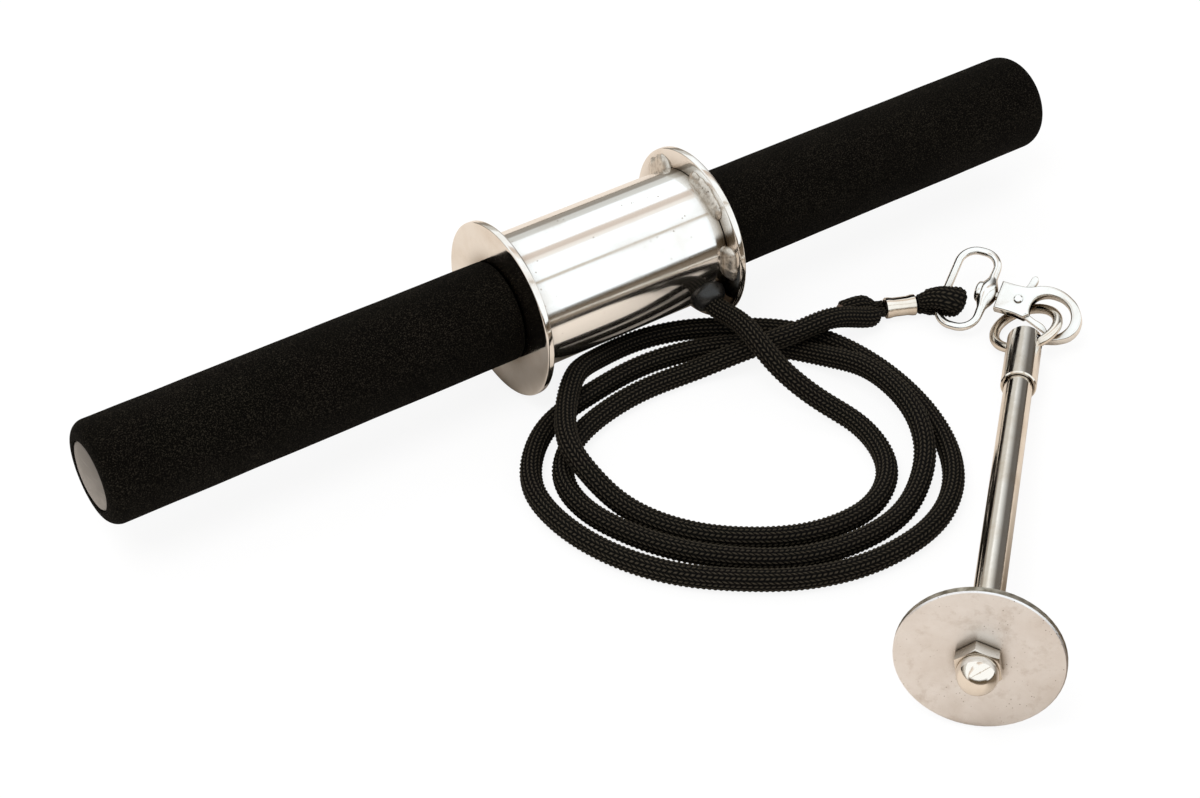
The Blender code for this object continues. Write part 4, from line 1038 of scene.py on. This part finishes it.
def pale_floor_material():
    """Floor that glows to the camera but keeps the object's shadow, and that plating mirrors as beige."""
    look = Shading("pale_floor")
    ray = look.add("ShaderNodeLightPath")
    x, y, _ = look.split(look.where)
    dark = 0.0
    for over_x, over_y in FLOOR_PATCHES:
        across = look.range(x, *over_x)
        away = look.range(y, *(BAR_AXIS.y + place for place in over_y))
        dark = look.math("ADD", dark, look.math("MULTIPLY", across, away))
    mirrored = look.mix(dark, FLOOR_MIRRORED, FLOOR_DARK)
    look.set(Base_Color=look.mix(ray.outputs["Is Glossy Ray"], (1, 1, 1), mirrored), Roughness=1.0,
             Specular_IOR_Level=0.0)
    glow = look.add("ShaderNodeEmission")
    glow.inputs["Color"].default_value = (1, 1, 1, 1)
    blend = look.add("ShaderNodeMixShader")
    look.join(look.math("MULTIPLY", ray.outputs["Is Camera Ray"], FLOOR_GLOW), blend.inputs["Fac"])
    look.join(look.shader.outputs[0], blend.inputs[1])
    look.join(glow.outputs[0], blend.inputs[2])
    look.join(blend.outputs[0], look.tree.nodes["Material Output"].inputs["Surface"])
    return look.material


def make_floor():
    corners = [(-FLOOR_REACH, -FLOOR_REACH, 0), (FLOOR_REACH, -FLOOR_REACH, 0),
               (FLOOR_REACH, FLOOR_REACH, 0), (-FLOOR_REACH, FLOOR_REACH, 0)]
    mesh = bpy.data.meshes.new("floor")
    mesh.from_pydata(corners, [], [(0, 1, 2, 3)])
    mesh.materials.append(pale_floor_material())
    floor = bpy.data.objects.new("floor", mesh)
    bpy.context.scene.collection.objects.link(floor)
    floor.location.z = -FLOOR_DROP


def make_lamp(name, place, size, power):
    data = bpy.data.lights.new(name, "AREA")
    data.shape = "RECTANGLE"
    data.size, data.size_y = size
    data.energy = power
    lamp = bpy.data.objects.new(name, data)
    bpy.context.scene.collection.objects.link(lamp)
    lamp.location = GROUND + Vector(place)
    lamp.rotation_euler = (GROUND + LAMP_TARGET - lamp.location).to_track_quat("-Z", "Y").to_euler()
    lamp.visible_glossy = False


def make_world():
    """White to the camera, even light on matt surfaces, and panels in the plating's mirror images."""
    world = bpy.data.worlds.new("studio")
    bpy.context.scene.world = world
    look = Shading("studio", world)
    heading = look.split(look.add("ShaderNodeTexCoord").outputs["Generated"])
    rise = look.math("ARCTAN2", heading[2], look.math("MULTIPLY", heading[1], -1.0))
    ramp = look.add("ShaderNodeValToRGB")
    ramp.color_ramp.interpolation = "LINEAR"
    look.join(look.range(rise, -math.pi, math.pi), ramp.inputs["Fac"])
    stops = ramp.color_ramp.elements
    while len(stops) > 1:
        stops.remove(stops[0])
    stops[0].position = 0
    stops[0].color = (*PANELS[0][1], 1)
    for (start, shade), (_, before) in zip(PANELS[1:], PANELS):
        for place, tint in ((start - PANEL_EDGE, before), (start + PANEL_EDGE, shade)):
            stop = stops.new((place + 180) / 360)
            stop.color = (*tint, 1)
    panels = ramp.outputs["Color"]
    for shade, share, edges in PATCHES:
        for axis, outside, inside in edges:
            share = look.math("MULTIPLY", share, look.range(heading[axis], outside, inside))
        panels = look.mix(share, panels, shade)
    ray = look.add("ShaderNodeLightPath")
    shown = look.mix(ray.outputs["Is Glossy Ray"], DIFFUSE_LIGHT, panels)
    look.join(look.mix(ray.outputs["Is Camera Ray"], shown, (1, 1, 1)), look.shader.inputs["Color"])


def make_light():
    make_world()
    for name, settings in LAMPS.items():
        make_lamp(name, *settings)
    bpy.context.scene.view_settings.view_transform = "Standard"


make_camera()
BRAID = braid_material()
make_rope(BRAID)
FOAM = foam_material()
make_grip("left", -1, FOAM)
make_grip("right", 1, FOAM)
STEEL = drum_material()
make_drum(STEEL)
PLATING = chrome_material("flange_plating", tint=(0.84, 0.81, 0.77), dull=(0.74, 0.68, 0.61), roughness=0.05)
WELD = weld_material()
make_flange("left", -1, PLATING, WELD)
make_flange("right", 1, PLATING, WELD)
NICKEL = chrome_material("bright_nickel", tint=(0.86, 0.85, 0.82), dull=(0.78, 0.75, 0.70), roughness=0.09)
make_bow(NICKEL)
make_hook(NICKEL)
CAP = cap_material()
make_cap("left", -1, CAP)
make_cap("right", 1, CAP)
make_collar(rubber_material())
SMOOTHING = smoothing()
dress(STEEL, "core_tube", "rope_stopper")
dress(NICKEL, "swivel_post", "trigger_pin")
CHROME = chrome_material("pin_plating", tint=(0.83, 0.775, 0.70), dull=(0.73, 0.65, 0.55), roughness=0.07)
dress(CHROME, "pin_ring", "pin_sleeve", "pin_rod", "ferrule")
make_nut(CHROME)
dress(satin_material(), "load_disc")
make_floor()
make_light()
